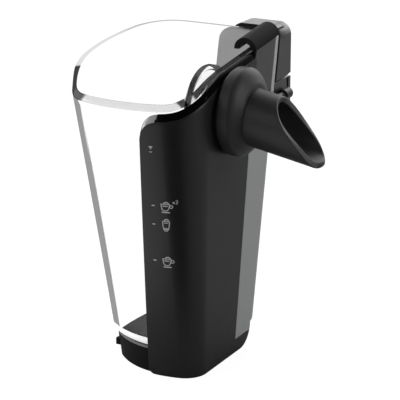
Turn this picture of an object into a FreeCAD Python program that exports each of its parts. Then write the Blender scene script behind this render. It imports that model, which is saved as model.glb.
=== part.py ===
"""Two-part milk jug with a frothing chamber and a pouring spout.

A clear jug stands on the foot of a black frame and plugs sideways onto the frothing chamber.
Frame: X to the right (the spout's side), Y to the rear, Z up, origin in the middle under the foot.
All sizes are millimetres and degrees.
"""
import FreeCAD, Part
import math
import os

import Sketcher

Vector = FreeCAD.Vector

# Driving sizes: alias, value, meaning
SIZES = (
    # Walls and fits
    ("cover_right", 23.5, "outer right face of the cover"),
    ("cover_wall", 2.4, "wall of the cover"),
    ("shell_wall", 2.4, "wall of the grey rear shell"),
    ("fit_gap", 0.3, "play between jug and frame"),
    ("seam_gap", 0.2, "seam between cover and rear shell"),
    ("tank_wall", 2.6, "wall of the clear jug"),
    ("tank_floor", 3.2, "floor of the clear jug"),
    ("tank_heel", 2.4, "rounding under the jug"),
    ("tank_lift", 0.1, "play between the jug and the foot"),
    # Jug outline at its floor: corner centres, corner radii and bulge of the sides
    ("low_front_left_x", -19.5, "front left corner at the floor"),
    ("low_front_left_y", -10.0, "front left corner at the floor"),
    ("low_front_left_radius", 8.0, "front left corner at the floor"),
    ("low_front_right_y", -16.4, "front right corner at the floor"),
    ("low_front_right_radius", 9.0, "front right corner at the floor"),
    ("low_rear_right_y", 29.0, "rear right corner at the floor"),
    ("low_rear_right_radius", 6.0, "rear right corner at the floor"),
    ("low_rear_left_x", -12.5, "rear left corner at the floor"),
    ("low_rear_left_y", 17.2, "rear left corner at the floor"),
    ("low_rear_left_radius", 14.0, "rear left corner at the floor"),
    ("low_front_bulge", 45.0, "radius of the front side at the floor"),
    ("low_rear_bulge", 300.0, "radius of the rear side at the floor"),
    ("low_left_bulge", 150.0, "radius of the left side at the floor"),
    # The same outline at the height of the mouth
    ("mouth_height", 148.0, "height at which the upper outline is given"),
    ("high_front_left_x", -36.2, "front left corner at the mouth"),
    ("high_front_left_y", -20.0, "front left corner at the mouth"),
    ("high_front_left_radius", 10.0, "front left corner at the mouth"),
    ("high_front_right_y", -12.9, "front right corner at the mouth"),
    ("high_front_right_radius", 20.0, "front right corner at the mouth"),
    ("high_rear_right_y", 55.0, "rear right corner at the mouth"),
    ("high_rear_right_radius", 6.0, "rear right corner at the mouth"),
    ("high_rear_left_x", -29.0, "rear left corner at the mouth"),
    ("high_rear_left_y", 40.0, "rear left corner at the mouth"),
    ("high_rear_left_radius", 22.5, "rear left corner at the mouth"),
    ("high_front_bulge", 72.0, "radius of the front side at the mouth"),
    ("high_rear_bulge", 400.0, "radius of the rear side at the mouth"),
    ("high_left_bulge", 95.0, "radius of the left side at the mouth"),
    # Swept rim of the jug and swept top edge of the cover, both seen from the side
    ("rim_drop", 21.2, "front of the rim below the mouth's height"),
    ("rim_start", -31.0, "Y where the rim begins to rise"),
    ("rim_up_radius", 12.0, "first bend of the rim"),
    ("rim_up_angle", 25.0, "steepest slope of the rim"),
    ("rim_down_radius", 140.0, "second bend of the rim"),
    ("rear_angle", 7.0, "slope of both edges towards the rear"),
    ("edge_drop", 3.4, "cover edge below the rim at the front"),
    ("edge_start", -36.6, "Y where the cover edge begins to rise"),
    ("edge_up_radius", 24.0, "first bend of the cover edge"),
    ("edge_up_angle", 26.5, "steepest slope of the cover edge"),
    ("edge_down_radius", 150.0, "second bend of the cover edge"),
    ("edge_band", 3.2, "height of the stepped band along the cover edge"),
    ("edge_step", 0.9, "depth of that band"),
    # Cover
    ("cover_left", -0.2, "left edge of the cover's front"),
    ("cover_corner", 8.0, "rounded top left corner of the cover"),
    ("window_low", 6.5, "bottom of the cut-away for the rear shell"),
    ("window_drop", 19.0, "top of that cut-away below the chamber's axis"),
    ("window_front_low", 12.7, "front edge of the cut-away, at its bottom"),
    ("window_front_high", 26.2, "front edge of the cut-away, at its top"),
    ("plate_reach", 2.0, "cover's rear edge behind the corner centre"),
    # Hook over the right rim
    ("hook_front", 32.5, "front end of the hook"),
    ("hook_gap", 1.28, "rear end of the hook in front of the button's catch"),
    ("hook_radius", 5.75, "outer radius of the hook's arch"),
    ("hook_bore", 3.1, "inner radius of the hook's arch"),
    ("hook_drop", 0.3, "foot of the hook below the rim"),
    # Rear shell
    ("shell_left", -10.5, "left edge of the rear shell's upper part, down to the block's underside"),
    ("shell_low_left", 13.0, "left edge of the rear shell's lower part"),
    ("shell_drop", 4.6, "top of the rear shell below the mouth's height"),
    ("shell_corner", 6.0, "rounded top left corner of the rear shell"),
    # Foot
    ("foot_height", 12.0, "height of the foot"),
    ("foot_inset", 1.5, "foot's left side inside the jug's"),
    ("foot_seat", 0.05, "play between foot and cover"),
    ("nose_size", 3.2, "width and height of the foot's nose"),
    ("nose_reach", 1.2, "length of the foot's nose"),
    ("nose_y", -13.0, "middle of the foot's nose"),
    ("nose_drop", 4.0, "foot's nose below the foot's top"),
    ("heel_radius", 9.0, "rounding under the frame's rear, seen from the side"),
    # Frothing chamber
    ("chamber_y", 9.7, "axis of the chamber"),
    ("chamber_drop", 7.8, "axis of the chamber below the front of the rim"),
    ("cup_radius", 17.5, "bore of the jug's chamber cup"),
    ("cup_wall", 2.0, "wall of the cup"),
    ("cup_depth", 12.8, "depth of the cup from the jug's right face"),
    ("spigot_radius", 13.4, "cap's spigot, through the cover into the cup"),
    ("spigot_reach", 7.0, "spigot inside the cup"),
    ("spigot_wall", 2.4, "wall of the spigot"),
    ("outlet_radius", 9.0, "way out of the chamber into the spout"),
    ("neck_radius", 18.4, "neck of the cap against the cover"),
    ("neck_length", 1.8, "length of the neck"),
    ("collar_radius", 20.3, "collar of the cap"),
    ("collar_start", 3.4, "collar's inner edge from the cover"),
    ("collar_end", 6.7, "collar's outer edge from the cover"),
    ("dome_end", 11.4, "end of the dome from the cover"),
    ("dome_radius", 16.0, "radius of the dome's curve"),
    ("seal_width", 2.4, "width of the chamber seal"),
    ("seal_depth", 0.8, "depth of the chamber seal's groove"),
    ("seal_play", 0.15, "chamber seal short of the cup's bore"),
    ("milk_hole", 0.9, "radius of the milk hole in the spigot"),
    # Spout
    ("spout_radius", 13.2, "outer radius of the spout at its root"),
    ("spout_tip_radius", 12.4, "outer radius of the spout at its tip"),
    ("spout_wall", 1.9, "wall of the spout"),
    ("spout_root", 7.2, "spout's root from the cover, inside the cap"),
    ("spout_short", 22.0, "top of the spout's mouth from the cover"),
    ("spout_long", 48.2, "bottom of the spout's mouth from the cover"),
    ("spout_tilt", 9.9, "spout's fall below the level"),
    # Milk channel in the jug's right wall, in front of the rear shell
    ("channel_y", 8.5, "middle of the channel"),
    ("channel_width", 6.0, "width of the channel"),
    ("channel_depth", 1.2, "depth of the channel"),
    ("inlet_height", 4.0, "middle of the inlet above the jug's floor"),
    ("inlet_radius", 1.8, "radius of the inlet"),
    ("strip_lap", 1.5, "channel seal past each side of the channel"),
    ("strip_depth", 1.0, "channel seal inside the cover"),
    ("strip_stand", 0.2, "channel seal proud of the cover"),
    # Block at the rear: lower housing and rocking button
    ("block_left", -2.5, "left face of the block"),
    ("block_inset", 0.6, "block's right face inside the cover's"),
    ("split_drop", 26.0, "split of the block below the mouth's height"),
    ("housing_height", 25.0, "bottom of the block below the split, at the shell"),
    ("block_rise", 10.0, "slope under the block"),
    ("block_round", 6.0, "rounded top edges of the button"),
    ("block_edge", 2.5, "rounded rear edges of the housing"),
    ("block_front", 2.5, "block's front edge behind the corner centre"),
    ("split_gap", 0.4, "gap between housing and button"),
    ("split_wedge", 1.6, "that gap at the rear face"),
    ("button_gap", 0.9, "gap between button and rear shell"),
    ("catch_lap", 2.9, "catch over the jug's rear rim"),
    ("catch_gap", 0.9, "catch above that rim"),
    ("catch_thickness", 1.9, "thickness of the catch"),
    ("catch_length", 8.0, "catch from front to rear"),
    ("pivot_inset", 7.0, "axis of the button in front of the rear face"),
    ("pivot_rise", 4.0, "axis of the button above the split"),
    ("pin_radius", 1.5, "pivot pin"),
    ("pin_play", 0.05, "play of the button on its pin"),
    ("pin_left", 0.5, "left end of the pin"),
    ("pin_length", 19.0, "length of the pin"),
    ("ear_left", 4.5, "left face of the housing's ear"),
    ("ear_width", 10.0, "width of the ear"),
    ("ear_radius", 3.4, "round top of the ear"),
    ("ear_play", 0.5, "play round the ear"),
    # Return spring
    ("spring_x", 18.4, "axis of the spring"),
    ("spring_inset", 3.3, "axis of the spring in front of the rear face"),
    ("spring_radius", 1.5, "mean radius of the coil"),
    ("spring_wire", 0.5, "wire of the coil"),
    ("spring_turns", 5.0, "turns of the coil"),
    ("spring_well", 4.0, "depth of each spring well"),
    ("well_play", 0.3, "play round the spring"),
    # Steam way: socket in the housing, elbow on its side, pipe and nozzle
    ("socket_x", 9.0, "axis of the socket"),
    ("socket_gap", 0.34, "closed end of the socket behind the shell"),
    ("socket_floor", 1.9, "closed end's thickness"),
    ("socket_radius", 5.6, "outside of the socket"),
    ("socket_bore", 4.4, "bore of the socket"),
    ("socket_depth", 10.0, "depth of the bore"),
    ("ring_width", 2.0, "width of the socket's seal"),
    ("ring_depth", 0.7, "depth of the seal's groove"),
    ("ring_inset", 3.0, "seal behind the mouth"),
    ("ring_stand", 0.05, "seal short of the bore"),
    ("steam_x", 25.4, "axis of the steam pipe"),
    ("steam_drop", 6.4, "axis of the steam pipe and the socket below the split"),
    ("crossing_inset", 1.0, "crossing to the elbow behind the socket's closed end"),
    ("crossing_bore", 0.6, "bore of the crossing"),
    ("pipe_radius", 1.7, "outside of the steam pipe"),
    ("pipe_bore", 0.9, "bore of the steam pipe"),
    ("pipe_seat", 2.0, "pipe inside the collar and inside the elbow"),
    ("elbow_radius", 2.7, "outside of the elbow"),
    ("elbow_reach", 3.0, "elbow before and behind the crossing"),
    ("nozzle_radius", 1.4, "outside of the nozzle"),
    ("nozzle_bore", 0.6, "bore of the nozzle"),
    ("nozzle_tip", 0.9, "nozzle proud of the chamber wall"),
)

# Heights that follow from the driving sizes: alias, formula, meaning
HEIGHTS = (
    ("rim_front", "=mouth_height - rim_drop", "height of the rim at the front"),
    ("chamber_z", "=rim_front - chamber_drop", "axis of the chamber"),
    ("window_high", "=chamber_z - window_drop", "top of the cut-away for the rear shell"),
    ("shell_top", "=mouth_height - shell_drop", "top of the rear shell"),
    ("block_split", "=mouth_height - split_drop", "split between housing and button"),
    ("block_low", "=block_split - housing_height", "bottom of the block at the shell"),
    ("pivot_z", "=block_split + pivot_rise", "axis of the button"),
    ("steam_z", "=block_split - steam_drop", "axis of the steam pipe and the socket"),
)

FAR = 300.0
ALIASES = []

document = FreeCAD.newDocument("milk_jug")
sheet = document.addObject("Spreadsheet::Sheet", "sheet")


def add_sizes(rows):
    """Further rows of the sheet, each an alias, a number or formula, and a meaning."""
    for alias, value, meaning in rows:
        ALIASES.append(alias)
        row = len(ALIASES)
        sheet.set(f"A{row}", meaning)
        sheet.set(f"B{row}", str(value))
        sheet.setAlias(f"B{row}", alias)
    document.recompute()


def size(alias):
    """One size, read from the sheet."""
    return float(sheet.get(alias))


add_sizes(SIZES + HEIGHTS)


# Outline of the jug


def tank_low():
    """Height of the jug's underside."""
    return size("foot_height") + size("tank_lift")


def tank_right():
    """X of the jug's right face."""
    return size("cover_right") - size("cover_wall") - size("fit_gap")


def at_height(name, z):
    """A size of the outline at height z, on the straight line from the floor's to the mouth's."""
    low = size("low_" + name)
    high = size("high_" + name)
    return low + (high - low) * (z - size("foot_height")) / (size("mouth_height") - size("foot_height"))


def corners(z, left_shift=0.0):
    """Centre and radius of the four corners at height z, anticlockwise from the front left."""
    found = []
    for name in ("front_left", "front_right", "rear_right", "rear_left"):
        radius = at_height(name + "_radius", z)
        if name.endswith("right"):
            x = tank_right() - radius
        else:
            x = at_height(name + "_x", z) + left_shift
        found.append((Vector(x, at_height(name + "_y", z), z), radius))
    return found


def bulge_centre(start, end, bulge):
    """Centre of the side arc that touches two corner circles from outside of both."""
    (first, first_radius), (second, second_radius) = start, end
    along = second.sub(first)
    length = along.Length
    along.normalize()
    inward = Vector(-along.y, along.x, 0)
    reach_first = bulge - first_radius
    reach_second = bulge - second_radius
    step = (reach_first ** 2 - reach_second ** 2 + length ** 2) / (2 * length)
    height = math.sqrt(reach_first ** 2 - step ** 2)
    return first + along * step + inward * height


def arc_about(centre, radius, first, last):
    """Arc of less than half a circle between two directions from its centre."""
    middle = (first + last).normalize()
    return Part.Arc(centre + first * radius, centre + middle * radius, centre + last * radius).toShape()


def outline(z, offset, left_shift=0.0):
    """The jug's plan at height z, grown by offset: bulged front, rear and left, straight right side."""
    places = corners(z, left_shift)
    bulges = [at_height("front_bulge", z), None, at_height("rear_bulge", z), at_height("left_bulge", z)]
    starts = []
    ends = []
    for index, bulge in enumerate(bulges):
        start = places[index]
        end = places[(index + 1) % 4]
        if bulge is None:
            starts.append(Vector(1, 0, 0))
            ends.append(Vector(1, 0, 0))
        else:
            centre = bulge_centre(start, end, bulge)
            starts.append((start[0] - centre).normalize())
            ends.append((end[0] - centre).normalize())
    edges = []
    for index, bulge in enumerate(bulges):
        start = places[index]
        end = places[(index + 1) % 4]
        if bulge is None:
            first = start[0] + starts[index] * (start[1] + offset)
            last = end[0] + ends[index] * (end[1] + offset)
            edges.append(Part.LineSegment(first, last).toShape())
        else:
            centre = bulge_centre(start, end, bulge)
            edges.append(arc_about(centre, bulge + offset, starts[index], ends[index]))
        edges.append(arc_about(end[0], end[1] + offset, ends[index], starts[(index + 1) % 4]))
    return Part.Wire(edges)


def jug_form(offset):
    """The jug's tapered form from the ground past the mouth's height, grown by offset."""
    mouth = size("mouth_height")
    levels = (0.0, mouth, mouth + size("rim_drop"))
    return Part.makeLoft([outline(z, offset) for z in levels], True, True)


def rear_wall_y(x, z, offset):
    """Y of the jug's rear side at x and height z, grown by offset."""
    places = corners(z)
    bulge = at_height("rear_bulge", z)
    centre = bulge_centre(places[2], places[3], bulge)
    return centre.y + math.sqrt((bulge + offset) ** 2 - (x - centre.x) ** 2)


# Plain cutting shapes


def box_between(low, high):
    """Box between two corners."""
    return Part.makeBox(high[0] - low[0], high[1] - low[1], high[2] - low[2], Vector(*low))


def side_prism(points, left=-FAR, right=FAR):
    """Straight-sided outline of (Y, Z) points, carried along X from left to right."""
    corners_3d = [Vector(left, y, z) for y, z in points]
    face = Part.Face(Part.makePolygon(corners_3d + corners_3d[:1]))
    return face.extrude(Vector(right - left, 0, 0))


def rod_along_x(y, z, radius, left, right):
    """Cylinder along X."""
    return Part.makeCylinder(radius, right - left, Vector(left, y, z), Vector(1, 0, 0))


def rod_along_y(x, z, radius, front, rear):
    """Cylinder along Y."""
    return Part.makeCylinder(radius, rear - front, Vector(x, front, z), Vector(0, 1, 0))


def sweep_points(start_y, front_z, up_radius, up_angle, down_radius):
    """Points of a swept edge: start, middle and end of its rising bend, then of its levelling bend."""
    up = math.radians(up_angle)
    level = math.radians(size("rear_angle"))
    crest_y = start_y + up_radius * math.sin(up)
    crest_z = front_z + up_radius * (1 - math.cos(up))

    def rising(angle):
        return (start_y + up_radius * math.sin(angle), front_z + up_radius * (1 - math.cos(angle)))

    def levelling(angle):
        return (
            crest_y + down_radius * (math.sin(up) - math.sin(angle)),
            crest_z + down_radius * (math.cos(angle) - math.cos(up)),
        )

    return [rising(0), rising(up / 2), rising(up), levelling((up + level) / 2), levelling(level)]


def above_sweep(points, step_y=None, step_z=0.0):
    """Everything above a swept edge. From step_y rearwards the edge is raised to step_z."""
    slope = math.tan(math.radians(size("rear_angle")))

    def at(y, z):
        return Vector(-FAR, y, z)

    start, rise, crest, level, end = [at(*point) for point in points]
    front = at(-FAR, start.z)
    edges = [Part.LineSegment(front, start).toShape()]
    edges.append(Part.Arc(start, rise, crest).toShape())
    edges.append(Part.Arc(crest, level, end).toShape())
    last = end
    if step_y is not None:
        foot = at(step_y, end.z + (step_y - end.y) * slope)
        head = at(step_y, step_z)
        edges.append(Part.LineSegment(last, foot).toShape())
        edges.append(Part.LineSegment(foot, head).toShape())
        last = head
    rear = at(FAR, last.z + (FAR - last.y) * slope)
    top_rear = at(FAR, 2 * FAR)
    top_front = at(-FAR, 2 * FAR)
    for first, second in ((last, rear), (rear, top_rear), (top_rear, top_front), (top_front, front)):
        edges.append(Part.LineSegment(first, second).toShape())
    return Part.Face(Part.Wire(edges)).extrude(Vector(2 * FAR, 0, 0))


def rim_points():
    """Points of the jug's rim."""
    bends = (size("rim_up_radius"), size("rim_up_angle"), size("rim_down_radius"))
    return sweep_points(size("rim_start"), size("rim_front"), *bends)


def rim_height(y):
    """Height of the rim on its straight rear stretch."""
    end_y, end_z = rim_points()[-1]
    return end_z + (y - end_y) * math.tan(math.radians(size("rear_angle")))


def add_block_places():
    """Places in the rear block that follow from the shell in front of it and from the rim under its catch."""
    x = size("socket_x")
    shell = size("fit_gap") + size("shell_wall")
    socket_front = rear_wall_y(x, size("steam_z") + size("socket_radius"), shell) + size("socket_gap")
    catch_front = rear_wall_y(x, size("mouth_height"), 0.0) - size("catch_lap")
    add_sizes((
        ("socket_front", socket_front, "closed end of the socket"),
        ("crossing_y", "=socket_front + crossing_inset", "crossing from the socket to the elbow"),
        ("block_rear", "=socket_front + socket_floor + socket_depth", "rear face of the block"),
        ("pivot_y", "=block_rear - pivot_inset", "axis of the button"),
        ("spring_y", "=block_rear - spring_inset", "axis of the spring"),
        ("catch_front", catch_front, "front edge of the button's catch"),
        ("catch_under", rim_height(catch_front) + size("catch_gap"), "underside of the catch"),
        ("block_top", "=catch_under + catch_thickness", "top of the block"),
    ))


def cover_edge_points(drop=0.0):
    """Points of the cover's top edge, or of a line that much below it."""
    front_z = size("rim_front") - size("edge_drop") - drop
    bends = (size("edge_up_radius"), size("edge_up_angle"), size("edge_down_radius"))
    return sweep_points(size("edge_start"), front_z, *bends)


def hook_height(y):
    """Height of the hook plate's top edge."""
    return rim_height(y) - size("hook_drop")


def behind_corner(reach, from_z=-FAR, to_z=FAR):
    """Everything behind the leaning line that runs reach behind the rear right corner's centre."""
    low = at_height("rear_right_y", from_z) + reach
    high = at_height("rear_right_y", to_z) + reach
    return side_prism([(low, from_z), (2 * FAR, from_z), (2 * FAR, to_z), (high, to_z)])


def window(gap):
    """Cut-away in the cover's right side for the rear shell, smaller all round by gap."""
    lean = (size("window_front_high") - size("window_front_low")) / (size("window_high") - size("window_low"))
    low = size("window_low") + gap
    high = size("window_high") - gap
    front_low = size("window_front_low") + gap + lean * gap
    front_high = size("window_front_high") + gap - lean * gap
    return side_prism([(front_low, low), (FAR, low), (FAR, high), (front_high, high)], left=0.0)


def below_heel():
    """What lies outside the rounding under the frame's rear."""
    radius = size("heel_radius")
    wall = size("fit_gap") + max(size("shell_wall"), size("cover_wall"))
    rear = at_height("rear_right_y", radius) + at_height("rear_right_radius", radius) + wall
    square = box_between((-FAR, rear - radius, -FAR), (FAR, FAR, radius))
    return square.cut(rod_along_x(rear - radius, radius, radius, -FAR, FAR))


# Making the document's objects


def keep_shape(label, shape):
    """Document object for a form that is worked out here from the sheet."""
    feature = document.addObject("Part::Feature", label)
    feature.Label = label
    feature.Shape = shape
    feature.Placement = FreeCAD.Placement()
    return feature


def add_outline(sketch, corners_as_text, rounded=None):
    """Closed sketch outline whose corners are held by expressions; rounded gives side: radius for an arc."""
    rounded = rounded or {}
    values = [(value_of(u), value_of(v)) for u, v in corners_as_text]
    count = len(values)
    for index, (u, v) in enumerate(values):
        next_u, next_v = values[(index + 1) % count]
        start = Vector(u, v, 0)
        end = Vector(next_u, next_v, 0)
        if index in rounded:
            sketch.addGeometry(bowed_arc(start, end, value_of(rounded[index])), False)
        else:
            sketch.addGeometry(Part.LineSegment(start, end), False)
    for index in range(count):
        following = (index + 1) % count
        start_point = 2 if index in rounded else 1
        end_point = 1 if index in rounded else 2
        next_start = 2 if following in rounded else 1
        sketch.addConstraint(Sketcher.Constraint("Coincident", index, end_point, following, next_start))
        for kind, text, value in (
            ("DistanceX", corners_as_text[index][0], values[index][0]),
            ("DistanceY", corners_as_text[index][1], values[index][1]),
        ):
            place = sketch.addConstraint(Sketcher.Constraint(kind, -1, 1, index, start_point, value))
            sketch.setExpression(f"Constraints[{place}]", text)
    for index, text in rounded.items():
        place = sketch.addConstraint(Sketcher.Constraint("Radius", index, value_of(text)))
        sketch.setExpression(f"Constraints[{place}]", text)


def bowed_arc(start, end, radius):
    """Arc that leaves the axis side: from start to end, clockwise, bowed away from the first axis."""
    middle = (start + end) * 0.5
    half = (end - start).Length / 2
    across = Vector(start.y - end.y, end.x - start.x, 0).normalize()
    centre = middle - across * math.sqrt(radius ** 2 - half ** 2)
    first = math.atan2(end.y - centre.y, end.x - centre.x)
    last = math.atan2(start.y - centre.y, start.x - centre.x)
    return Part.ArcOfCircle(Part.Circle(centre, Vector(0, 0, 1), radius), first, last)


def value_of(text):
    """Value of an expression on the sheet's sizes."""
    names = {alias: size(alias) for alias in ALIASES}
    total = 0.0
    sign = 1.0
    for word in text.replace("sheet.", "").split():
        if word in ("+", "-"):
            sign = 1.0 if word == "+" else -1.0
        else:
            total += sign * (names[word] if word in names else float(word))
    return total


def on_sheet(words):
    """Expression text for a sum of sizes, such as 'neck_length + seal_width'."""
    return " ".join("sheet." + word if word in ALIASES else word for word in words.split())


def plane_of(body, role):
    """One of a body's own origin planes."""
    return next(feature for feature in body.Origin.OriginFeatures if feature.Role == role)


def turned_body(label, profile, axis, rounded=None):
    """Body turned about the X axis ('H_Axis') or the Y axis ('V_Axis') from a profile of (first, second) sums."""
    body = document.addObject("PartDesign::Body", label)
    body.Label = label
    sketch = body.newObject("Sketcher::SketchObject", label + "_profile")
    sketch.AttachmentSupport = [(plane_of(body, "XY_Plane"), "")]
    sketch.MapMode = "FlatFace"
    texts = [(on_sheet(u), on_sheet(v)) for u, v in profile]
    add_outline(sketch, texts, {index: on_sheet(text) for index, text in (rounded or {}).items()})
    document.recompute()
    turn = body.newObject("PartDesign::Revolution", label + "_turn")
    turn.Profile = sketch
    turn.ReferenceAxis = (sketch, [axis])
    turn.Angle = 360.0
    body.Tip = turn
    return body


def place_at(item, x=None, y=None, z=None):
    """Bind an object's place to sums of sizes."""
    for letter, words in (("x", x), ("y", y), ("z", z)):
        if words is not None:
            item.setExpression(f"Placement.Base.{letter}", on_sheet(words))


def rod(label, radius, length, direction):
    """Part cylinder of bound radius and length, along X or Y."""
    item = document.addObject("Part::Cylinder", label)
    item.Label = label
    item.setExpression("Radius", on_sheet(radius))
    item.setExpression("Height", on_sheet(length))
    turn = FreeCAD.Rotation(Vector(0, 0, 1), direction)
    item.Placement = FreeCAD.Placement(Vector(), turn)
    return item


def cut(label, base, tool):
    """Boolean cut of two document objects."""
    item = document.addObject("Part::Cut", label)
    item.Label = label
    item.Base = base
    item.Tool = tool
    return item


# Clear jug


def make_milk_tank():
    right = tank_right()
    floor = tank_low()
    cavity_floor = floor + size("tank_floor")
    form = jug_form(0.0).common(box_between((-FAR, -FAR, floor), (FAR, FAR, FAR)))
    heel = [edge for edge in form.Edges if abs(edge.BoundBox.ZMax - floor) < 0.001]
    form = form.makeFillet(size("tank_heel"), heel)
    hollow = jug_form(-size("tank_wall")).common(box_between((-FAR, -FAR, cavity_floor), (FAR, FAR, FAR)))
    cup_end = right - size("cup_depth")
    axis = (size("chamber_y"), size("chamber_z"))
    cup = rod_along_x(*axis, size("cup_radius") + size("cup_wall"), cup_end, right)
    bore = rod_along_x(*axis, size("cup_radius"), cup_end + size("cup_wall"), right + size("cover_wall"))
    half = size("channel_width") / 2
    inlet_z = cavity_floor + size("inlet_height")
    channel_y = size("channel_y")
    channel = box_between(
        (right - size("channel_depth"), channel_y - half, inlet_z - half),
        (right + size("cover_wall"), channel_y + half, axis[1]),
    )
    inlet = rod_along_x(channel_y, inlet_z, size("inlet_radius"), right - 2 * size("tank_wall"), right)
    jug = form.cut(hollow.cut(cup)).cut(above_sweep(rim_points()))
    keep_shape("milk_tank", jug.cut(bore).cut(channel).cut(inlet).removeSplitter())


# Black shells and foot


def make_outer_cover():
    inner = size("fit_gap")
    outer = inner + size("cover_wall")
    left = size("cover_left")
    radius = size("cover_corner")
    wall = jug_form(outer).cut(jug_form(inner))
    wall = wall.cut(box_between((-FAR, -FAR, -FAR), (left, FAR, FAR)))
    wall = wall.cut(behind_corner(size("plate_reach")))
    step_y = size("hook_front")
    wall = wall.cut(above_sweep(cover_edge_points(), step_y, hook_height(step_y)))
    band = jug_form(outer).cut(jug_form(outer - size("edge_step")))
    band = band.common(above_sweep(cover_edge_points(size("edge_band"))))
    band = band.common(box_between((-FAR, -FAR, 0), (FAR, step_y, FAR)))
    wall = wall.cut(band)
    corner_z = size("rim_front") - size("edge_drop") - radius
    square = box_between((left, -FAR, corner_z), (left + radius, 0, FAR))
    round_part = rod_along_y(left + radius, corner_z, radius, -FAR, 0)
    wall = wall.cut(square.cut(round_part))
    wall = wall.cut(window(0.0))
    wall = wall.cut(rod_along_x(size("chamber_y"), size("chamber_z"), size("spigot_radius"), 0, FAR))
    wall = wall.cut(channel_strip())
    keep_shape("outer_cover", wall.cut(below_heel()).removeSplitter())


def channel_strip():
    """Seal strip that closes the milk channel, let into the cover's inner face."""
    half = size("channel_width") / 2 + size("strip_lap")
    inner_face = size("cover_right") - size("cover_wall")
    low = tank_low() + size("tank_floor") + size("inlet_height") - half
    high = size("chamber_z") - size("cup_radius") - size("strip_lap")
    y = size("channel_y")
    low_corner = (inner_face - size("strip_stand"), y - half, low)
    return box_between(low_corner, (inner_face + size("strip_depth"), y + half, high))


def make_channel_seal():
    keep_shape("channel_seal", channel_strip().common(jug_form(size("fit_gap") + size("strip_depth"))))


def make_rim_hook():
    y = size("hook_front")
    slope = math.radians(size("rear_angle"))
    along = Vector(0, math.cos(slope), math.sin(slope))
    radius = size("hook_radius")
    base = Vector(size("cover_right") - radius, y, hook_height(y))
    length = (size("catch_front") - size("hook_gap") - y) / math.cos(slope)
    arch = Part.makeCylinder(radius, length, base, along)
    arch = arch.cut(Part.makeCylinder(size("hook_bore"), length, base, along))
    below = box_between((-radius, -radius, -2 * radius), (radius, FAR, 0))
    below.rotate(Vector(), Vector(1, 0, 0), size("rear_angle"))
    below.translate(base)
    keep_shape("rim_hook", arch.cut(below))


def make_rear_shell():
    inner = size("fit_gap")
    outer = inner + size("shell_wall")
    seam = size("seam_gap")
    wall = jug_form(outer).cut(jug_form(inner))
    low = size("window_low") + seam
    left = size("shell_left")
    wall = wall.common(box_between((left, -FAR, low), (FAR, FAR, size("shell_top"))))
    behind = behind_corner(size("plate_reach") + seam)
    wall = wall.common(window(seam).fuse(behind))
    radius = size("shell_corner")
    corner_z = size("shell_top") - radius
    square = box_between((left, 0, corner_z), (left + radius, FAR, FAR))
    wall = wall.cut(square.cut(rod_along_y(left + radius, corner_z, radius, 0, FAR)))
    lower_left = box_between((-FAR, -FAR, 0), (size("shell_low_left"), FAR, size("block_low")))
    keep_shape("rear_shell", wall.cut(lower_left).cut(below_heel()).removeSplitter())


def make_foot():
    height = size("foot_height")
    form = jug_form(size("fit_gap") - size("foot_seat"))
    form = form.common(box_between((-FAR, -FAR, 0), (FAR, FAR, height)))
    left = outline(0.0, 0.0, left_shift=size("foot_inset"))
    left_form = Part.Face(left).extrude(Vector(0, 0, height))
    right_half = box_between((size("cover_left"), -FAR, 0), (FAR, FAR, height))
    form = form.common(left_form.fuse(right_half))
    half = size("nose_size") / 2
    corner, radius = corners(0.0, size("foot_inset"))[0]
    left_x = corner.x - radius - size("nose_reach")
    top = height - size("nose_drop")
    y = size("nose_y")
    nose = box_between((left_x, y - half, top - 2 * half), (0, y + half, top))
    keep_shape("foot", form.fuse(nose).cut(below_heel()).removeSplitter())


# Frothing chamber


def make_chamber_cap():
    spigot = "spigot_radius"
    groove = "spigot_radius - seal_depth"
    hollow = "spigot_radius - spigot_wall"
    end = "0 - cover_wall - fit_gap - spigot_reach"
    seal_end = end + " + seal_width"
    seal_start = seal_end + " + seal_width"
    floor = "collar_start"
    profile = [
        (end, hollow),
        (end, spigot),
        (seal_end, spigot),
        (seal_end, groove),
        (seal_start, groove),
        (seal_start, spigot),
        ("0", spigot),
        ("0", "neck_radius"),
        ("neck_length", "neck_radius"),
        ("collar_start", "collar_radius"),
        ("collar_end", "collar_radius"),
        ("dome_end", "spout_radius"),
        ("dome_end", "outlet_radius"),
        (floor, "outlet_radius"),
        (floor, hollow),
    ]
    body = turned_body("cap_blank", profile, "H_Axis", rounded={10: "dome_radius"})
    place_at(body, x="cover_right", y="chamber_y", z="chamber_z")
    seat = turned_body("spout_room", spout_blank("0"), "H_Axis")
    tilt_down(seat)
    place_at(seat, x="cover_right", y="chamber_y", z="chamber_z")
    steam_hole = rod("pipe_hole", "pipe_radius", "crossing_y", Vector(0, 1, 0))
    place_at(steam_hole, x="steam_x", y="chamber_y + collar_radius - pipe_seat", z="steam_z")
    jet_hole = rod("nozzle_hole", "nozzle_radius", "collar_radius", Vector(0, 1, 0))
    place_at(jet_hole, x="steam_x", y="chamber_y", z="steam_z")
    jet_hole.setExpression("Height", on_sheet("collar_radius - pipe_seat"))
    milk_way = rod("milk_way", "milk_hole", "cup_radius", Vector(0, -1, 0))
    place_at(milk_way, x="cover_right - cover_wall - fit_gap - milk_hole", y="chamber_y", z="chamber_z")
    seated = cut("cap_with_seat", body, seat)
    piped = cut("cap_with_pipe", seated, steam_hole)
    jetted = cut("cap_with_nozzle", piped, jet_hole)
    return cut("chamber_cap", jetted, milk_way)


def tilt_down(item):
    """Turn an X-wise body down by the spout's fall, bound to the sheet."""
    item.Placement = FreeCAD.Placement(Vector(), FreeCAD.Rotation(Vector(0, 1, 0), size("spout_tilt")))
    item.setExpression("Placement.Rotation.Angle", "sheet.spout_tilt")


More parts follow.
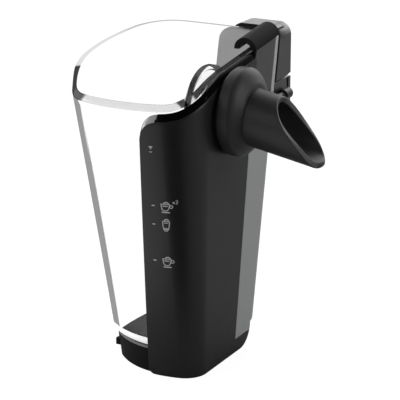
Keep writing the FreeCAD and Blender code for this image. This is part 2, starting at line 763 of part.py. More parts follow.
def spout_blank(inner_step):
    """Profile of the tapered tube, with its bore or, at inner step 0, solid to the axis."""
    root_bore = "0" if inner_step == "0" else "spout_radius - " + inner_step
    tip_bore = "0" if inner_step == "0" else "spout_tip_radius - " + inner_step
    return [
        ("spout_root", root_bore),
        ("spout_root", "spout_radius"),
        ("spout_long", "spout_tip_radius"),
        ("spout_long", tip_bore),
    ]


def make_spout():
    profile = spout_blank("spout_wall")
    body = turned_body("spout", profile, "H_Axis")
    document.recompute()
    mouth = body.newObject("Sketcher::SketchObject", "spout_mouth")
    mouth.AttachmentSupport = [(plane_of(body, "XZ_Plane"), "")]
    mouth.MapMode = "FlatFace"
    outline_text = [
        ("spout_short", "spout_radius"),
        ("spout_long", "0 - spout_radius"),
        ("spout_long + spout_long", "0 - spout_radius"),
        ("spout_long + spout_long", "spout_radius"),
    ]
    add_outline(mouth, [(on_sheet(u), on_sheet(v)) for u, v in outline_text])
    document.recompute()
    slice_off = body.newObject("PartDesign::Pocket", "mouth_cut")
    slice_off.Profile = mouth
    slice_off.Type = "ThroughAll"
    slice_off.Midplane = True
    body.Tip = slice_off
    tilt_down(body)
    place_at(body, x="cover_right", y="chamber_y", z="chamber_z")
    return body


def make_chamber_seal():
    end = "0 - cover_wall - fit_gap - spigot_reach + seal_width"
    inner = "spigot_radius - seal_depth"
    outer = "cup_radius - seal_play"
    profile = [(end, inner), (end, outer), (end + " + seal_width", outer), (end + " + seal_width", inner)]
    body = turned_body("chamber_seal", profile, "H_Axis")
    place_at(body, x="cover_right", y="chamber_y", z="chamber_z")
    return body


# Steam way


def make_steam_socket():
    mouth = "block_rear - socket_front"
    ring_end = mouth + " - ring_inset"
    ring_start = ring_end + " - ring_width"
    floor = mouth + " - socket_depth"
    profile = [
        ("0", "0"),
        ("socket_radius", "0"),
        ("socket_radius", mouth),
        ("socket_bore", mouth),
        ("socket_bore", ring_end),
        ("socket_bore + ring_depth", ring_end),
        ("socket_bore + ring_depth", ring_start),
        ("socket_bore", ring_start),
        ("socket_bore", floor),
        ("pipe_bore", floor),
        ("pipe_bore", "crossing_inset"),
        ("0", "crossing_inset"),
    ]
    body = turned_body("socket_blank", profile, "V_Axis")
    place_at(body, x="socket_x", y="socket_front", z="steam_z")
    crossing = rod("socket_crossing", "crossing_bore", "steam_x - socket_x", Vector(1, 0, 0))
    place_at(crossing, x="socket_x", y="crossing_y", z="steam_z")
    return cut("steam_socket", body, crossing)


def make_socket_seal():
    end = "block_rear - socket_front - ring_inset"
    start = end + " - ring_width"
    inner = "socket_bore + ring_stand"
    outer = "socket_bore + ring_depth"
    body = turned_body("socket_seal", [(inner, start), (outer, start), (outer, end), (inner, end)], "V_Axis")
    place_at(body, x="socket_x", y="socket_front", z="steam_z")
    return body


def make_steam_elbow():
    middle = size("crossing_y")
    front = middle - size("elbow_reach")
    rear = middle + size("elbow_reach")
    axis = (size("steam_x"), size("steam_z"))
    elbow = rod_along_y(*axis, size("elbow_radius"), front, rear)
    elbow = elbow.cut(box_between((-FAR, -FAR, 0), (block_right(), FAR, FAR)))
    elbow = elbow.cut(rod_along_y(*axis, size("pipe_radius"), front, front + size("pipe_seat")))
    elbow = elbow.cut(rod_along_y(*axis, size("pipe_bore"), front, middle))
    keep_shape("steam_elbow", elbow.cut(steam_crossing()))


def steam_crossing():
    """Steam way along X, from the socket's closed end into the elbow."""
    axis = (size("crossing_y"), size("steam_z"))
    return rod_along_x(*axis, size("crossing_bore"), size("socket_x"), size("steam_x"))


def make_steam_pipe():
    length = "crossing_y - elbow_reach + pipe_seat - chamber_y - collar_radius + pipe_seat"
    start = "chamber_y + collar_radius - pipe_seat"
    outside = rod("pipe_outside", "pipe_radius", length, Vector(0, 1, 0))
    inside = rod("pipe_inside", "pipe_bore", length, Vector(0, 1, 0))
    for item in (outside, inside):
        place_at(item, x="steam_x", y=start, z="steam_z")
    return cut("steam_pipe", outside, inside)


def make_steam_nozzle():
    start = "chamber_y + spigot_radius - spigot_wall - nozzle_tip"
    length = "collar_radius - pipe_seat - spigot_radius + spigot_wall + nozzle_tip"
    outside = rod("nozzle_outside", "nozzle_radius", length, Vector(0, 1, 0))
    inside = rod("nozzle_inside", "nozzle_bore", length, Vector(0, 1, 0))
    for item in (outside, inside):
        place_at(item, x="steam_x", y=start, z="steam_z")
    return cut("steam_nozzle", outside, inside)


# Block at the rear


def block_right():
    """Right face of the block."""
    return size("cover_right") - size("block_inset")


def spring_wells():
    """Room for the return spring, half in the housing and half in the button."""
    depth = size("spring_well")
    radius = size("spring_radius") + size("spring_wire") / 2 + size("well_play")
    base = Vector(size("spring_x"), size("spring_y"), size("block_split") - depth)
    return Part.makeCylinder(radius, 2 * depth, base)


def make_latch_housing():
    front = size("chamber_y")
    rear = size("block_rear")
    low = size("block_low")
    split = size("block_split")
    points = [(front, low), (at_height("rear_right_y", low), low), (rear, low + size("block_rise"))]
    points += [(rear, split), (front, split)]
    block = side_prism(points, size("block_left"), block_right())
    uprights = [edge for edge in block.Edges if edge.BoundBox.YMin > rear - 0.001 and edge.BoundBox.ZLength > 1]
    block = block.makeFillet(size("block_edge"), uprights)
    pivot = (size("pivot_y"), size("pivot_z"))
    left = size("ear_left")
    right = left + size("ear_width")
    radius = size("ear_radius")
    ear = box_between((left, pivot[0] - radius, split - radius), (right, pivot[0] + radius, pivot[1]))
    ear = ear.fuse(rod_along_x(*pivot, radius, left, right))
    block = block.fuse(ear).common(behind_corner(size("block_front")))
    block = block.cut(jug_form(size("fit_gap") + size("shell_wall")))
    block = block.cut(rod_along_y(size("socket_x"), size("steam_z"), size("socket_radius"), size("socket_front"), FAR))
    block = block.cut(steam_crossing())
    block = block.cut(rod_along_x(*pivot, size("pin_radius"), -FAR, FAR)).cut(spring_wells())
    keep_shape("latch_housing", block.removeSplitter())


def button_block():
    """Button and catch in one: the upper block, cut back from the shell below the catch."""
    front = size("chamber_y")
    rear = size("block_rear")
    top = size("block_top")
    split = size("block_split") + size("split_gap")
    wedge_z = size("block_split") + size("split_wedge")
    pivot = (size("pivot_y"), size("pivot_z"))
    catch_y = size("catch_front")
    points = [(front, split), (pivot[0], split), (rear, wedge_z), (rear, top), (catch_y, top)]
    points += [(catch_y, size("catch_under")), (front, size("catch_under"))]
    block = side_prism(points, size("block_left"), block_right())
    crown = [edge for edge in block.Edges if edge.BoundBox.ZMin > top - 0.001 and edge.BoundBox.YLength > 1]
    block = block.makeFillet(size("block_round"), crown)
    block = block.common(behind_corner(size("block_front")))
    wall = jug_form(size("fit_gap") + size("shell_wall") + size("button_gap"))
    return block.cut(wall.common(box_between((-FAR, -FAR, 0), (FAR, FAR, size("catch_under")))))


def catch_room():
    """Everything in front of and above the catch's seat on the button."""
    rear = size("catch_front") + size("catch_length")
    return box_between((-FAR, -FAR, size("catch_under")), (FAR, rear, FAR))


def make_button_catch():
    keep_shape("button_catch", button_block().common(catch_room()))


def make_release_button():
    block = button_block().cut(catch_room())
    pivot = (size("pivot_y"), size("pivot_z"))
    left = size("ear_left") - size("ear_play")
    right = left + size("ear_width") + 2 * size("ear_play")
    room = size("ear_radius") + size("ear_play")
    slot = rod_along_x(*pivot, room, left, right)
    slot = slot.fuse(box_between((left, pivot[0] - room, 0), (right, pivot[0] + room, pivot[1])))
    pin_left = size("pin_left") - size("pin_play")
    pin_right = size("pin_left") + size("pin_length") + size("pin_play")
    pin_room = rod_along_x(*pivot, size("pin_radius") + size("pin_play"), pin_left, pin_right)
    keep_shape("release_button", block.cut(slot).cut(pin_room).cut(spring_wells()).removeSplitter())


def make_pivot_pin():
    pin = rod("pivot_pin", "pin_radius", "pin_length", Vector(1, 0, 0))
    place_at(pin, x="pin_left", y="pivot_y", z="pivot_z")
    return pin


def make_return_spring():
    wire = size("spring_wire") / 2
    radius = size("spring_radius")
    height = 2 * (size("spring_well") - wire)
    pitch = height / size("spring_turns")
    along = Vector(0, 2 * math.pi * radius, pitch).normalize()
    outward = Vector(1, 0, 0)
    upward = outward.cross(along)
    sides = 6
    angles = [2 * math.pi * side / sides for side in range(sides + 1)]
    corners_3d = [outward * (radius + wire * math.cos(a)) + upward * (wire * math.sin(a)) for a in angles]
    section = Part.makePolygon(corners_3d)
    coil = Part.Wire(Part.makeHelix(pitch, height, radius)).makePipeShell([section], True, True)
    low = Vector(size("spring_x"), size("spring_y"), size("block_split") - height / 2)
    spring = keep_shape("return_spring", coil)
    spring.Placement = FreeCAD.Placement(low, FreeCAD.Rotation())


# Building and writing


def check(item):
    """Stop on an object that failed to compute."""
    broken = [word for word in ("Invalid", "Error") if word in item.State]
    if broken:
        raise RuntimeError(f"{item.Label} is {broken}")


NODES = (
    "milk_tank", "outer_cover", "rim_hook", "rear_shell", "foot", "channel_seal", "chamber_cap", "spout",
    "chamber_seal", "steam_socket", "socket_seal", "steam_elbow", "steam_pipe", "steam_nozzle", "latch_housing",
    "release_button", "button_catch", "pivot_pin", "return_spring",
)

add_block_places()
make_milk_tank()
make_outer_cover()
make_rim_hook()
make_rear_shell()
make_foot()
make_channel_seal()
make_chamber_cap()
make_spout()
make_chamber_seal()
make_steam_socket()
make_socket_seal()
make_steam_elbow()
make_steam_pipe()
make_steam_nozzle()
make_latch_housing()
make_release_button()
make_button_catch()
make_pivot_pin()
make_return_spring()
document.recompute()

for item in document.Objects:
    check(item)

os.makedirs("parts", exist_ok=True)
for node in NODES:
    piece = document.getObjectsByLabel(node)[0]
    if piece.Shape.isNull() or not piece.Shape.isValid():
        raise RuntimeError(f"{node} has no valid shape")
for node in NODES:
    piece = document.getObjectsByLabel(node)[0]
    piece.Shape.exportStep(f"parts/{node}.step")
    print(f"{node}: {len(piece.Shape.Solids)} solid, {piece.Shape.Volume:.0f} mm3")
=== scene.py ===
import math

import bmesh
import bpy
import numpy as np
from mathutils import Matrix, Vector


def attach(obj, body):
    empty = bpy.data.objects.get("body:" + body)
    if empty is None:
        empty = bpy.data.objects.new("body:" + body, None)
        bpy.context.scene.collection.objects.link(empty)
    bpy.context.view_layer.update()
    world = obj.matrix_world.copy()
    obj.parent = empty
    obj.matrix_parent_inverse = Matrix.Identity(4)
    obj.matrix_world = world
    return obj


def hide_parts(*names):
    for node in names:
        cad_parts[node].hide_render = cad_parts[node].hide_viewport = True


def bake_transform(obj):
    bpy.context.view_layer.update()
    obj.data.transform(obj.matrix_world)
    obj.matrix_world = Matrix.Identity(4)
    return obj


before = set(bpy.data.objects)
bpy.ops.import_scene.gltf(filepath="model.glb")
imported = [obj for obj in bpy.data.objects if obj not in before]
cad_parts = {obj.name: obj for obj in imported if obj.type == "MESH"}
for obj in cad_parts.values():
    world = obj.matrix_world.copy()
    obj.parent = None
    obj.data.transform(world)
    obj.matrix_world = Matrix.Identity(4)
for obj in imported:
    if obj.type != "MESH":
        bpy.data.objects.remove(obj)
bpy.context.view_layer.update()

# Clear milk jug in a black frame with a frothing chamber, a pouring spout and a release button.
# Lengths are millimetres in the shared frame: X right, Y rear, Z up, origin under the foot.

MM = 0.001

# Plan of the jug at its floor and at its mouth: centre x, centre y and radius of its corners, from the front
# left one round by the front right, the radius of the side after each corner, where 0 is a straight one, and
# the middle of the whole
FLOOR_Z = 12.0
MOUTH_Z = 148.0
TANK_RIGHT = 20.8
LOW_CORNERS = np.array([[-19.5, -10.0, 8.0], [11.8, -16.4, 9.0], [14.8, 29.0, 6.0], [-12.5, 17.2, 14.0]])
HIGH_CORNERS = np.array([[-31.5, -18.8, 14.2], [0.8, -12.9, 20.0], [14.8, 55.0, 6.0], [-29.0, 40.0, 22.5]])
LOW_BULGES = np.array([45.0, 0.0, 300.0, 150.0])
HIGH_BULGES = np.array([72.0, 0.0, 400.0, 95.0])
PLAN_MIDDLE_LOW = (-3.5, 6.0)
PLAN_MIDDLE_HIGH = (-14.0, 15.0)
STRETCHES = 8
RIGHT_SIDE = 2
HALVINGS = 34

# Jug
TANK_WALL = 2.6
TANK_LOW = 12.1
TANK_FLOOR = 3.2
TANK_HEEL = 2.4
INNER_HEEL = 2.0
HEEL_BAND = 3.5
RIM_FRONT = 128.45
RIM_EDGE = 0.35
RIM_BEVEL = 2.6
CHANNEL_DEPTH = 1.2
CHANNEL_LOW = 16.3
CHANNEL_FRONT = 5.5
CHANNEL_REAR = 11.5

# Cover, rear shell and hook
FIT_GAP = 0.3
COVER_WALL = 2.4
SHELL_WALL = 2.4
COVER_RIGHT = TANK_RIGHT + FIT_GAP + COVER_WALL
COVER_LEFT = -0.2
COVER_REAR = 2.0
COVER_CORNER = 8.0
COVER_FRONT = 124.7
FOOT_CORNER = 3.2
EDGE_BAND = 3.2
# Right end in x of the painted highlight on the band's left end.
BAND_END_RIGHT = 7.0
REAR_ANGLE = math.radians(7.0)
HEEL_Y = 18.1
HEEL_RADIUS = 10.5
HOOK_FRONT = 32.5
PLATE_DROP = 0.3
# How far before the rear corner's centre line the painted highlight on the plate's rear edge begins.
PLATE_EDGE = 0.9

# Cut-away of the cover for the rear shell, in side view: its leaning front edge and its two heights
CUT_FRONT_LOW = 12.7
CUT_FRONT_HIGH = 26.2
CUT_REAR = 120.0
CUT_LOW_Z = 6.5
CUT_HIGH_Z = 100.0
CUT_LEAN = (CUT_FRONT_HIGH - CUT_FRONT_LOW) / (CUT_HIGH_Z - CUT_LOW_Z)

# Chamber and spout
CHAMBER_Y = 9.7
CHAMBER_Z = 119.0
CUP_RADIUS = 19.5
CUP_BORE = 17.5
CUP_END = 8.0
CUP_FLOOR = 10.0
CUP_ROUND = 1.0
NECK_RADIUS = 13.4
SPOUT_TILT = math.radians(9.9)

# Shading and print
SHARP_ANGLE = 35.0
GRAIN_SCALE = 2600.0
GRAIN_DEPTH = 0.0001
PRINT_PROUD = 0.04
PRINT_SUNK = 0.3


# Arithmetic of the forms


def lerp(first, last, part):
    """Straight mix of two values."""
    return first + (last - first) * part


def smooth_step(value, low, high):
    """0 below low, 1 above high, and a smooth S between them."""
    part = np.clip((value - low) / (high - low), 0, 1)
    return part * part * (3 - 2 * part)


def outline_arcs(z):
    """Centre, radius, first and last angle of the eight stretches of the jug's plan at height z.

    Sides and corners take turns. A side is the arc of given radius that touches both of its corners,
    and the right side is straight, given by the y of its two ends.
    """
    part = (z - FLOOR_Z) / (MOUTH_Z - FLOOR_Z)
    corner = lerp(LOW_CORNERS, HIGH_CORNERS, part)
    # The two right corners touch the right side
    corner[1:3, 0] = TANK_RIGHT - corner[1:3, 2]
    bulge = lerp(LOW_BULGES, HIGH_BULGES, part)
    following = np.roll(corner, -1, axis=0)
    gap = following[:, :2] - corner[:, :2]
    length = np.hypot(gap[:, 0], gap[:, 1])
    along = gap / length[:, None]
    inward = np.stack([-along[:, 1], along[:, 0]], 1)
    reach = bulge - corner[:, 2]
    step = (reach ** 2 - (bulge - following[:, 2]) ** 2 + length ** 2) / (2 * length)
    rise = np.sqrt(np.maximum(reach ** 2 - step ** 2, 0.0))
    centre = corner[:, :2] + along * step[:, None] + inward * rise[:, None]
    first = np.arctan2(*(corner[:, :2] - centre).T[::-1])
    last = np.arctan2(*(following[:, :2] - centre).T[::-1])
    # The right side looks along X
    first[1] = last[1] = 0.0
    arcs = np.zeros((STRETCHES, 5))
    arcs[0::2] = np.stack([centre[:, 0], centre[:, 1], bulge, first, last], 1)
    arcs[1::2, :3] = following
    arcs[1::2, 3] = last
    arcs[1::2, 4] = np.roll(first, -1)
    arcs[:, 4] = arcs[:, 3] + np.mod(arcs[:, 4] - arcs[:, 3], 2 * math.pi)
    return arcs, corner[1, 1], corner[2, 1]


LOW_RING = outline_arcs(0.0)
HIGH_RING = outline_arcs(MOUTH_Z)


def ring(plan, u, offset):
    """Points of one plan: u counts its stretches, and each point lies offset outside along its normal."""
    arcs, right_front, right_rear = plan
    stretch = np.floor(u).astype(int) % STRETCHES
    part = u - np.floor(u)
    x_mid, y_mid, radius, first, last = np.moveaxis(arcs[stretch], -1, 0)
    angle = lerp(first, last, part)
    flat = stretch == RIGHT_SIDE
    x = np.where(flat, TANK_RIGHT + offset, x_mid + (radius + offset) * np.cos(angle))
    y = np.where(flat, lerp(right_front, right_rear, part), y_mid + (radius + offset) * np.sin(angle))
    return x, y


def wall(u, z, offset):
    """Point of the jug's ruled wall: the straight line from the lower plan to the upper one at height z."""
    u, z, offset = np.broadcast_arrays(u, z, offset)
    x_low, y_low = ring(LOW_RING, u, offset)
    x_high, y_high = ring(HIGH_RING, u, offset)
    part = z / MOUTH_Z
    return np.stack([lerp(x_low, x_high, part), lerp(y_low, y_high, part), z], -1)


def find_u(axis, target, z, offset, u_below, u_above):
    """Stretch count u where the wall's x (axis 0) or y (axis 1) meets the target, by halving the interval.

    The wall lies below the target at u_below and above it at u_above, whichever of these is larger.
    """
    z, offset, target = np.broadcast_arrays(np.asarray(z, float), offset, target)
    low = np.full(z.shape, float(u_below))
    high = np.full(z.shape, float(u_above))
    for _ in range(HALVINGS):
        middle = (low + high) / 2
        below = wall(middle, z, offset)[..., axis] < target
        low = np.where(below, middle, low)
        high = np.where(below, high, middle)
    return (low + high) / 2


def corner_line(z):
    """Y of the rear right corner's centre at height z."""
    return lerp(LOW_CORNERS[2, 1], HIGH_CORNERS[2, 1], (z - FLOOR_Z) / (MOUTH_Z - FLOOR_Z))


def swept_edge(y, start, front, up_radius, up_angle, down_radius):
    """Side view of a swept edge: level, a rising bend, a levelling bend, then straight at the rear angle."""
    up = math.radians(up_angle)
    crest_y = start + up_radius * math.sin(up)
    crest_z = front + up_radius * (1 - math.cos(up))
    end_y = crest_y + down_radius * (math.sin(up) - math.sin(REAR_ANGLE))
    end_z = crest_z + down_radius * (math.cos(REAR_ANGLE) - math.cos(up))
    level = np.full(np.shape(y), front)
    rising = front + up_radius - np.sqrt(np.maximum(up_radius ** 2 - (y - start) ** 2, 0.0))
    lean = np.clip(math.sin(up) - (y - crest_y) / down_radius, -1, 1)
    levelling = crest_z + down_radius * (np.sqrt(1 - lean ** 2) - math.cos(up))
    rear = end_z + (y - end_y) * math.tan(REAR_ANGLE)
    return np.select([y < start, y < crest_y, y < end_y], [level, rising, levelling], rear)


def rim_height(y):
    """Height of the jug's rim."""
    return swept_edge(y, start=-32.0, front=RIM_FRONT, up_radius=12.0, up_angle=25.0, down_radius=105.0)


def rim_bevel(y):
    """Height of the bevel on the rim's outer edge, which fades out from the front to the rear."""
    return RIM_EDGE + RIM_BEVEL * smooth_step(-y, 8.0, 22.0)


def hook_height(y):
    """Height of the plate's top edge under the hook."""
    return rim_height(y) - PLATE_DROP


# Meshes


def grid_faces(rows, columns, wrap=False):
    """Corner indices of the quads of a grid, joined from the last column to the first if wrap is set."""
    index = np.arange(rows * columns).reshape(rows, columns)
    if wrap:
        index = np.concatenate([index, index[:, :1]], 1)
    quads = [index[:-1, :-1], index[:-1, 1:], index[1:, 1:], index[1:, :-1]]
    return np.stack(quads, -1).reshape(-1, 4)


def enclosed_volume(points, faces):
    """Six times the volume that quads or triangles enclose, positive where they face outwards."""
    a, b, c = points[faces[:, 0]], points[faces[:, 1]], points[faces[:, 2]]
    total = np.einsum("ij,ij->", a, np.cross(b, c))
    if faces.shape[1] == 4:
        d = points[faces[:, 3]]
        total += np.einsum("ij,ij->", a, np.cross(c, d))
    return total


def new_object(name, points, face_sets, sharp=SHARP_ANGLE):
    """Mesh object of points in millimetres and sets of faces, turned outwards, smooth below the sharp angle.

    Sets of quads and triangles are the ones whose volume tells inside from outside.
    """
    points = np.asarray(points, float).reshape(-1, 3)
    if sum(enclosed_volume(points, faces) for faces in face_sets if faces.shape[1] < 5) < 0:
        face_sets = [faces[:, ::-1] for faces in face_sets]
    mesh = bpy.data.meshes.new(name)
    mesh.from_pydata((points * MM).tolist(), [], [face for faces in face_sets for face in faces.tolist()])
    mesh.validate()
    smooth_mesh(mesh, sharp)
    return link_mesh(name, mesh)


def link_mesh(name, mesh):
    """Object of a mesh, in the scene."""
    item = bpy.data.objects.new(name, mesh)
    bpy.context.scene.collection.objects.link(item)
    return item


def smooth_mesh(mesh, sharp=SHARP_ANGLE):
    """Smooth shading with edges kept sharp above an angle in degrees."""
    mesh.polygons.foreach_set("use_smooth", np.ones(len(mesh.polygons), bool))
    mesh.set_sharp_from_angle(angle=math.radians(sharp))


def fan(centre_index, ring_indices):
    """Triangles from one point to a closed ring of points."""
    after = np.roll(ring_indices, -1)
    return np.stack([np.full(len(ring_indices), centre_index), ring_indices, after], 1)


def closed_tube(name, rows):
    """Closed form from an array of rings (rows, columns, xyz), the end ones filled to their middles."""
    count, columns = rows.shape[:2]
    points = np.concatenate([rows.reshape(-1, 3), rows[0].mean(0)[None], rows[-1].mean(0)[None]])
    first = fan(count * columns, np.arange(columns)[::-1])
    last = fan(count * columns + 1, np.arange(columns) + (count - 1) * columns)
    return new_object(name, points, [grid_faces(count, columns, True), first, last])


def closed_ring(name, rows, sharp=SHARP_ANGLE):
    """Closed ring-shaped form: the rings join round, and the last one joins the first."""
    count, columns = rows.shape[:2]
    faces = grid_faces(count + 1, columns, True) % (count * columns)
    return new_object(name, rows.reshape(-1, 3), [faces], sharp)


def closed_sheet(name, rows, walls):
    """Sheet with thickness: rows run up the outside, over the edge and down the inside.

    The outside and the inside have walls rows each. The ends of the rows are closed by quads between each
    outer row and the inner row at its height.
    """
    count, columns = rows.shape[:2]
    around = grid_faces(count + 1, columns) % (count * columns)
    outer = np.arange(walls)
    inner = count - 1 - outer
    side = np.stack([outer[:-1], outer[1:], inner[1:], inner[:-1]], 1) * columns
    ends = [side[:, ::-1], side + columns - 1]
    if count > 2 * walls:
        top = np.arange(walls - 1, count - walls + 1)[None] * columns
        ends += [top[:, ::-1], top + columns - 1]
    return new_object(name, rows.reshape(-1, 3), [around, *ends])


def side_prism(name, outline, left, right):
    """Outline of (y, z) corners carried along X."""
    rows = np.stack([np.column_stack([np.full(len(outline), x), outline]) for x in (left, right)])
    count = len(outline)
    ends = np.arange(2 * count).reshape(2, count)
    return new_object(name, rows, [grid_faces(2, count, True), ends[:1, ::-1], ends[1:]])


def block_between(name, low, high):
    """Box between two corners."""
    x = np.array([low[0], high[0], high[0], low[0]])
    y = np.array([low[1], low[1], high[1], high[1]])
    rows = np.stack([np.stack([x, y, np.full(4, height)], -1) for height in (low[2], high[2])])
    return closed_tube(name, rows)


def turned(profile, y, z, columns=96, x_shift=0.0):
    """Rings of a profile of (x, radius) rows turned about an axis along X at (y, z)."""
    profile = np.asarray(profile, float)
    angle = np.linspace(0, 2 * math.pi, columns, endpoint=False)
    x = np.broadcast_to(profile[:, :1] + x_shift, (len(profile), columns))
    return np.stack([x, y + profile[:, 1:] * np.cos(angle), z + profile[:, 1:] * np.sin(angle)], -1)


def carve(item, tool, operation="DIFFERENCE"):
    """Boolean of two closed pieces, applied to the first; the second is removed."""
    change = item.modifiers.new("carve", "BOOLEAN")
    change.operation = operation
    change.solver = "EXACT"
    change.object = tool
    bpy.context.view_layer.update()
    carved = bpy.data.meshes.new_from_object(item.evaluated_get(bpy.context.evaluated_depsgraph_get()))
    item.modifiers.remove(change)
    item.data = carved
    smooth_mesh(carved)
    bpy.data.objects.remove(tool)
    return item


def round_edges(item, width, segments=3, angle=40.0):
    """Bevel along edges sharper than an angle, width in millimetres."""
    bevel = item.modifiers.new("round edges", "BEVEL")
    bevel.width = width * MM
    bevel.segments = segments
    bevel.limit_method = "ANGLE"
    bevel.angle_limit = math.radians(angle)
    bevel.harden_normals = False
    return item


def merged_copy(node, name):
    """Copy of a CAD node's mesh with its doubles merged and its flat triangles joined."""
    form = bmesh.new()
    form.from_mesh(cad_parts[node].data)
    bmesh.ops.remove_doubles(form, verts=form.verts[:], dist=0.003 * MM)
    bmesh.ops.dissolve_limit(form, angle_limit=math.radians(0.5), verts=form.verts[:], edges=form.edges[:])
    mesh = bpy.data.meshes.new(name)
    form.to_mesh(mesh)
    form.free()
    return link_mesh(name, mesh)


# Materials


def even_grey(level):
    """Colour of an even grey."""
    return (level, level, level, 1.0)


def add_node(tree, kind, sockets=(), **settings):
    """New shader node with its settings; sockets maps inputs to the output, number or colour they take."""
    node = tree.nodes.new(kind)
    for name, value in settings.items():
        setattr(node, name, value)
    for socket, value in dict(sockets).items():
        if isinstance(value, bpy.types.NodeSocket):
            tree.links.new(value, node.inputs[socket])
        else:
            node.inputs[socket].default_value = value
    return node


def new_material(name):
    """Material with nodes, as Blender starts it: one Principled shader on its surface."""
    material = bpy.data.materials.new(name)
    material.use_nodes = True
    return material


def show_surface(tree, shader):
    """Make a shader node the material's surface."""
    tree.links.new(shader.outputs[0], tree.nodes["Material Output"].inputs["Surface"])


def plain_material(name, colour, roughness, **inputs):
    """Principled material with its constants on the shader's own sockets."""
    material = new_material(name)
    shader = material.node_tree.nodes["Principled BSDF"]
    shader.inputs["Base Color"].default_value = colour
    shader.inputs["Roughness"].default_value = roughness
    for socket, value in inputs.items():
        shader.inputs[socket.replace("_", " ")].default_value = value
    return material


def add_grain(material, strength):
    """Fine moulded grain: noise on Object coordinates, as a bump."""
    tree = material.node_tree
    place = add_node(tree, "ShaderNodeTexCoord")
    noise = add_node(tree, "ShaderNodeTexNoise",
                     {"Vector": place.outputs["Object"], "Scale": GRAIN_SCALE, "Detail": 2.0})
    bump = add_node(tree, "ShaderNodeBump",
                    {"Height": noise.outputs["Fac"], "Strength": strength, "Distance": GRAIN_DEPTH})
    tree.links.new(bump.outputs["Normal"], tree.nodes["Principled BSDF"].inputs["Normal"])
    return material


def clear_material(name, passed, gloss):
    """Clear plastic: straight through with a share of the light passed, under a thin gloss."""
    material = new_material(name)
    tree = material.node_tree
    tree.nodes.remove(tree.nodes["Principled BSDF"])
    through = add_node(tree, "ShaderNodeBsdfTransparent", {"Color": even_grey(passed)}, name="through")
    shine = add_node(tree, "ShaderNodeBsdfGlossy", {"Color": even_grey(1.0), "Roughness": 0.05})
    both = add_node(tree, "ShaderNodeMixShader", {0: gloss, 1: through.outputs[0], 2: shine.outputs[0]})
    show_surface(tree, both)
    return material


def tint_through(tree, colour):
    """Let an output colour the light that passes a clear material."""
    tree.links.new(colour, tree.nodes["through"].inputs["Color"])


def colour_steps(tree, value, *steps):
    """Grey that follows a value through (place, level) steps, straight between them."""
    low, high = steps[0][0], steps[-1][0]
    span = add_node(tree, "ShaderNodeMapRange", {"Value": value, "From Min": low, "From Max": high})
    ramp = add_node(tree, "ShaderNodeValToRGB", {0: span.outputs[0]})
    points = ramp.color_ramp.elements
    while len(points) < len(steps):
        points.new(0.5)
    for point, (place, level) in zip(points, steps):
        point.position = (place - low) / (high - low)
        point.color = even_grey(level)
    return ramp.outputs[0]


def object_axes(tree):
    """Object coordinates in millimetres, as one vector and as separate X, Y and Z outputs."""
    place = add_node(tree, "ShaderNodeTexCoord")
    scaled = add_node(tree, "ShaderNodeVectorMath", {0: place.outputs["Object"], "Scale": 1 / MM},
                      operation="SCALE")
    apart = add_node(tree, "ShaderNodeSeparateXYZ", {0: scaled.outputs[0]})
    return scaled.outputs[0], apart.outputs


def edge_tint(material, dark, low, high):
    """Grey band where a wall is seen nearly edge on from outside: Layer Weight's Facing on front faces.

    A little is added with height, so the band widens upwards.
    """
    growth = 0.0016
    tree = material.node_tree
    _, axes = object_axes(tree)
    lean = add_node(tree, "ShaderNodeLayerWeight", {"Blend": 0.5})
    side = add_node(tree, "ShaderNodeNewGeometry")
    raised = add_node(tree, "ShaderNodeMath", {0: axes["Z"], 1: growth, 2: lean.outputs["Facing"]},
                      operation="MULTIPLY_ADD")
    front = add_node(tree, "ShaderNodeMath", {0: raised.outputs[0], 1: side.outputs["Backfacing"]},
                     operation="SUBTRACT", use_clamp=True)
    clear = tree.nodes["through"].inputs["Color"].default_value[0]
    band = colour_steps(tree, front.outputs[0], (0.0, clear), (low, clear), (high, dark), (1.0, dark))
    tint_through(tree, band)


def rim_tint(material):
    """Painted light on the rim: pale, with painted shade round the front left corner and along the right
    side a painted reflection of the frame that shows in it.
    """
    corner_place = (-43.0, -21.0, 129.5)
    dark, pale, dull = 0.03, 0.72, 0.5
    painted_streak, shade = 0.07, 0.06
    tree = material.node_tree
    place, axes = object_axes(tree)
    away = add_node(tree, "ShaderNodeVectorMath", {0: place, 1: corner_place}, operation="DISTANCE")
    corner = colour_steps(tree, away.outputs["Value"], (0, dark), (13.4, dark), (15.0, pale), (55, pale),
                          (70, dull), (100, dull))
    # Painted shade: a dark streak and a dark right side where the black cover shows through the rim.
    right = colour_steps(tree, axes["Y"], (-40, pale), (-26.0, pale), (-25.5, painted_streak), (-23.2, painted_streak),
                         (-22.7, pale), (-20.0, pale), (-19.0, shade), (60, shade))
    side = colour_steps(tree, axes["X"], (0, 0), (12.0, 0), (14.0, 1), (20, 1))
    mix = add_node(tree, "ShaderNodeMixRGB", {0: side, 1: corner, 2: right})
    tint_through(tree, mix.outputs[0])


def cup_tint(material):
    """Clear cup with a painted dark ring, painted shade where its end wall is seen edge on."""
    dark, clear = 0.03, 0.93
    tree = material.node_tree
    _, axes = object_axes(tree)
    tint_through(tree, colour_steps(tree, axes["X"], (7, dark), (11.2, dark), (11.8, clear), (20, clear)))


def clear_from_inside(material):
    """Let the light straight through the back faces, so the far wall of the heel doesn't show."""
    tree = material.node_tree
    side = add_node(tree, "ShaderNodeNewGeometry")
    through = add_node(tree, "ShaderNodeBsdfTransparent")
    plain = tree.nodes["Principled BSDF"]
    both = add_node(tree, "ShaderNodeMixShader",
                    {0: side.outputs["Backfacing"], 1: plain.outputs[0], 2: through.outputs[0]})
    show_surface(tree, both)


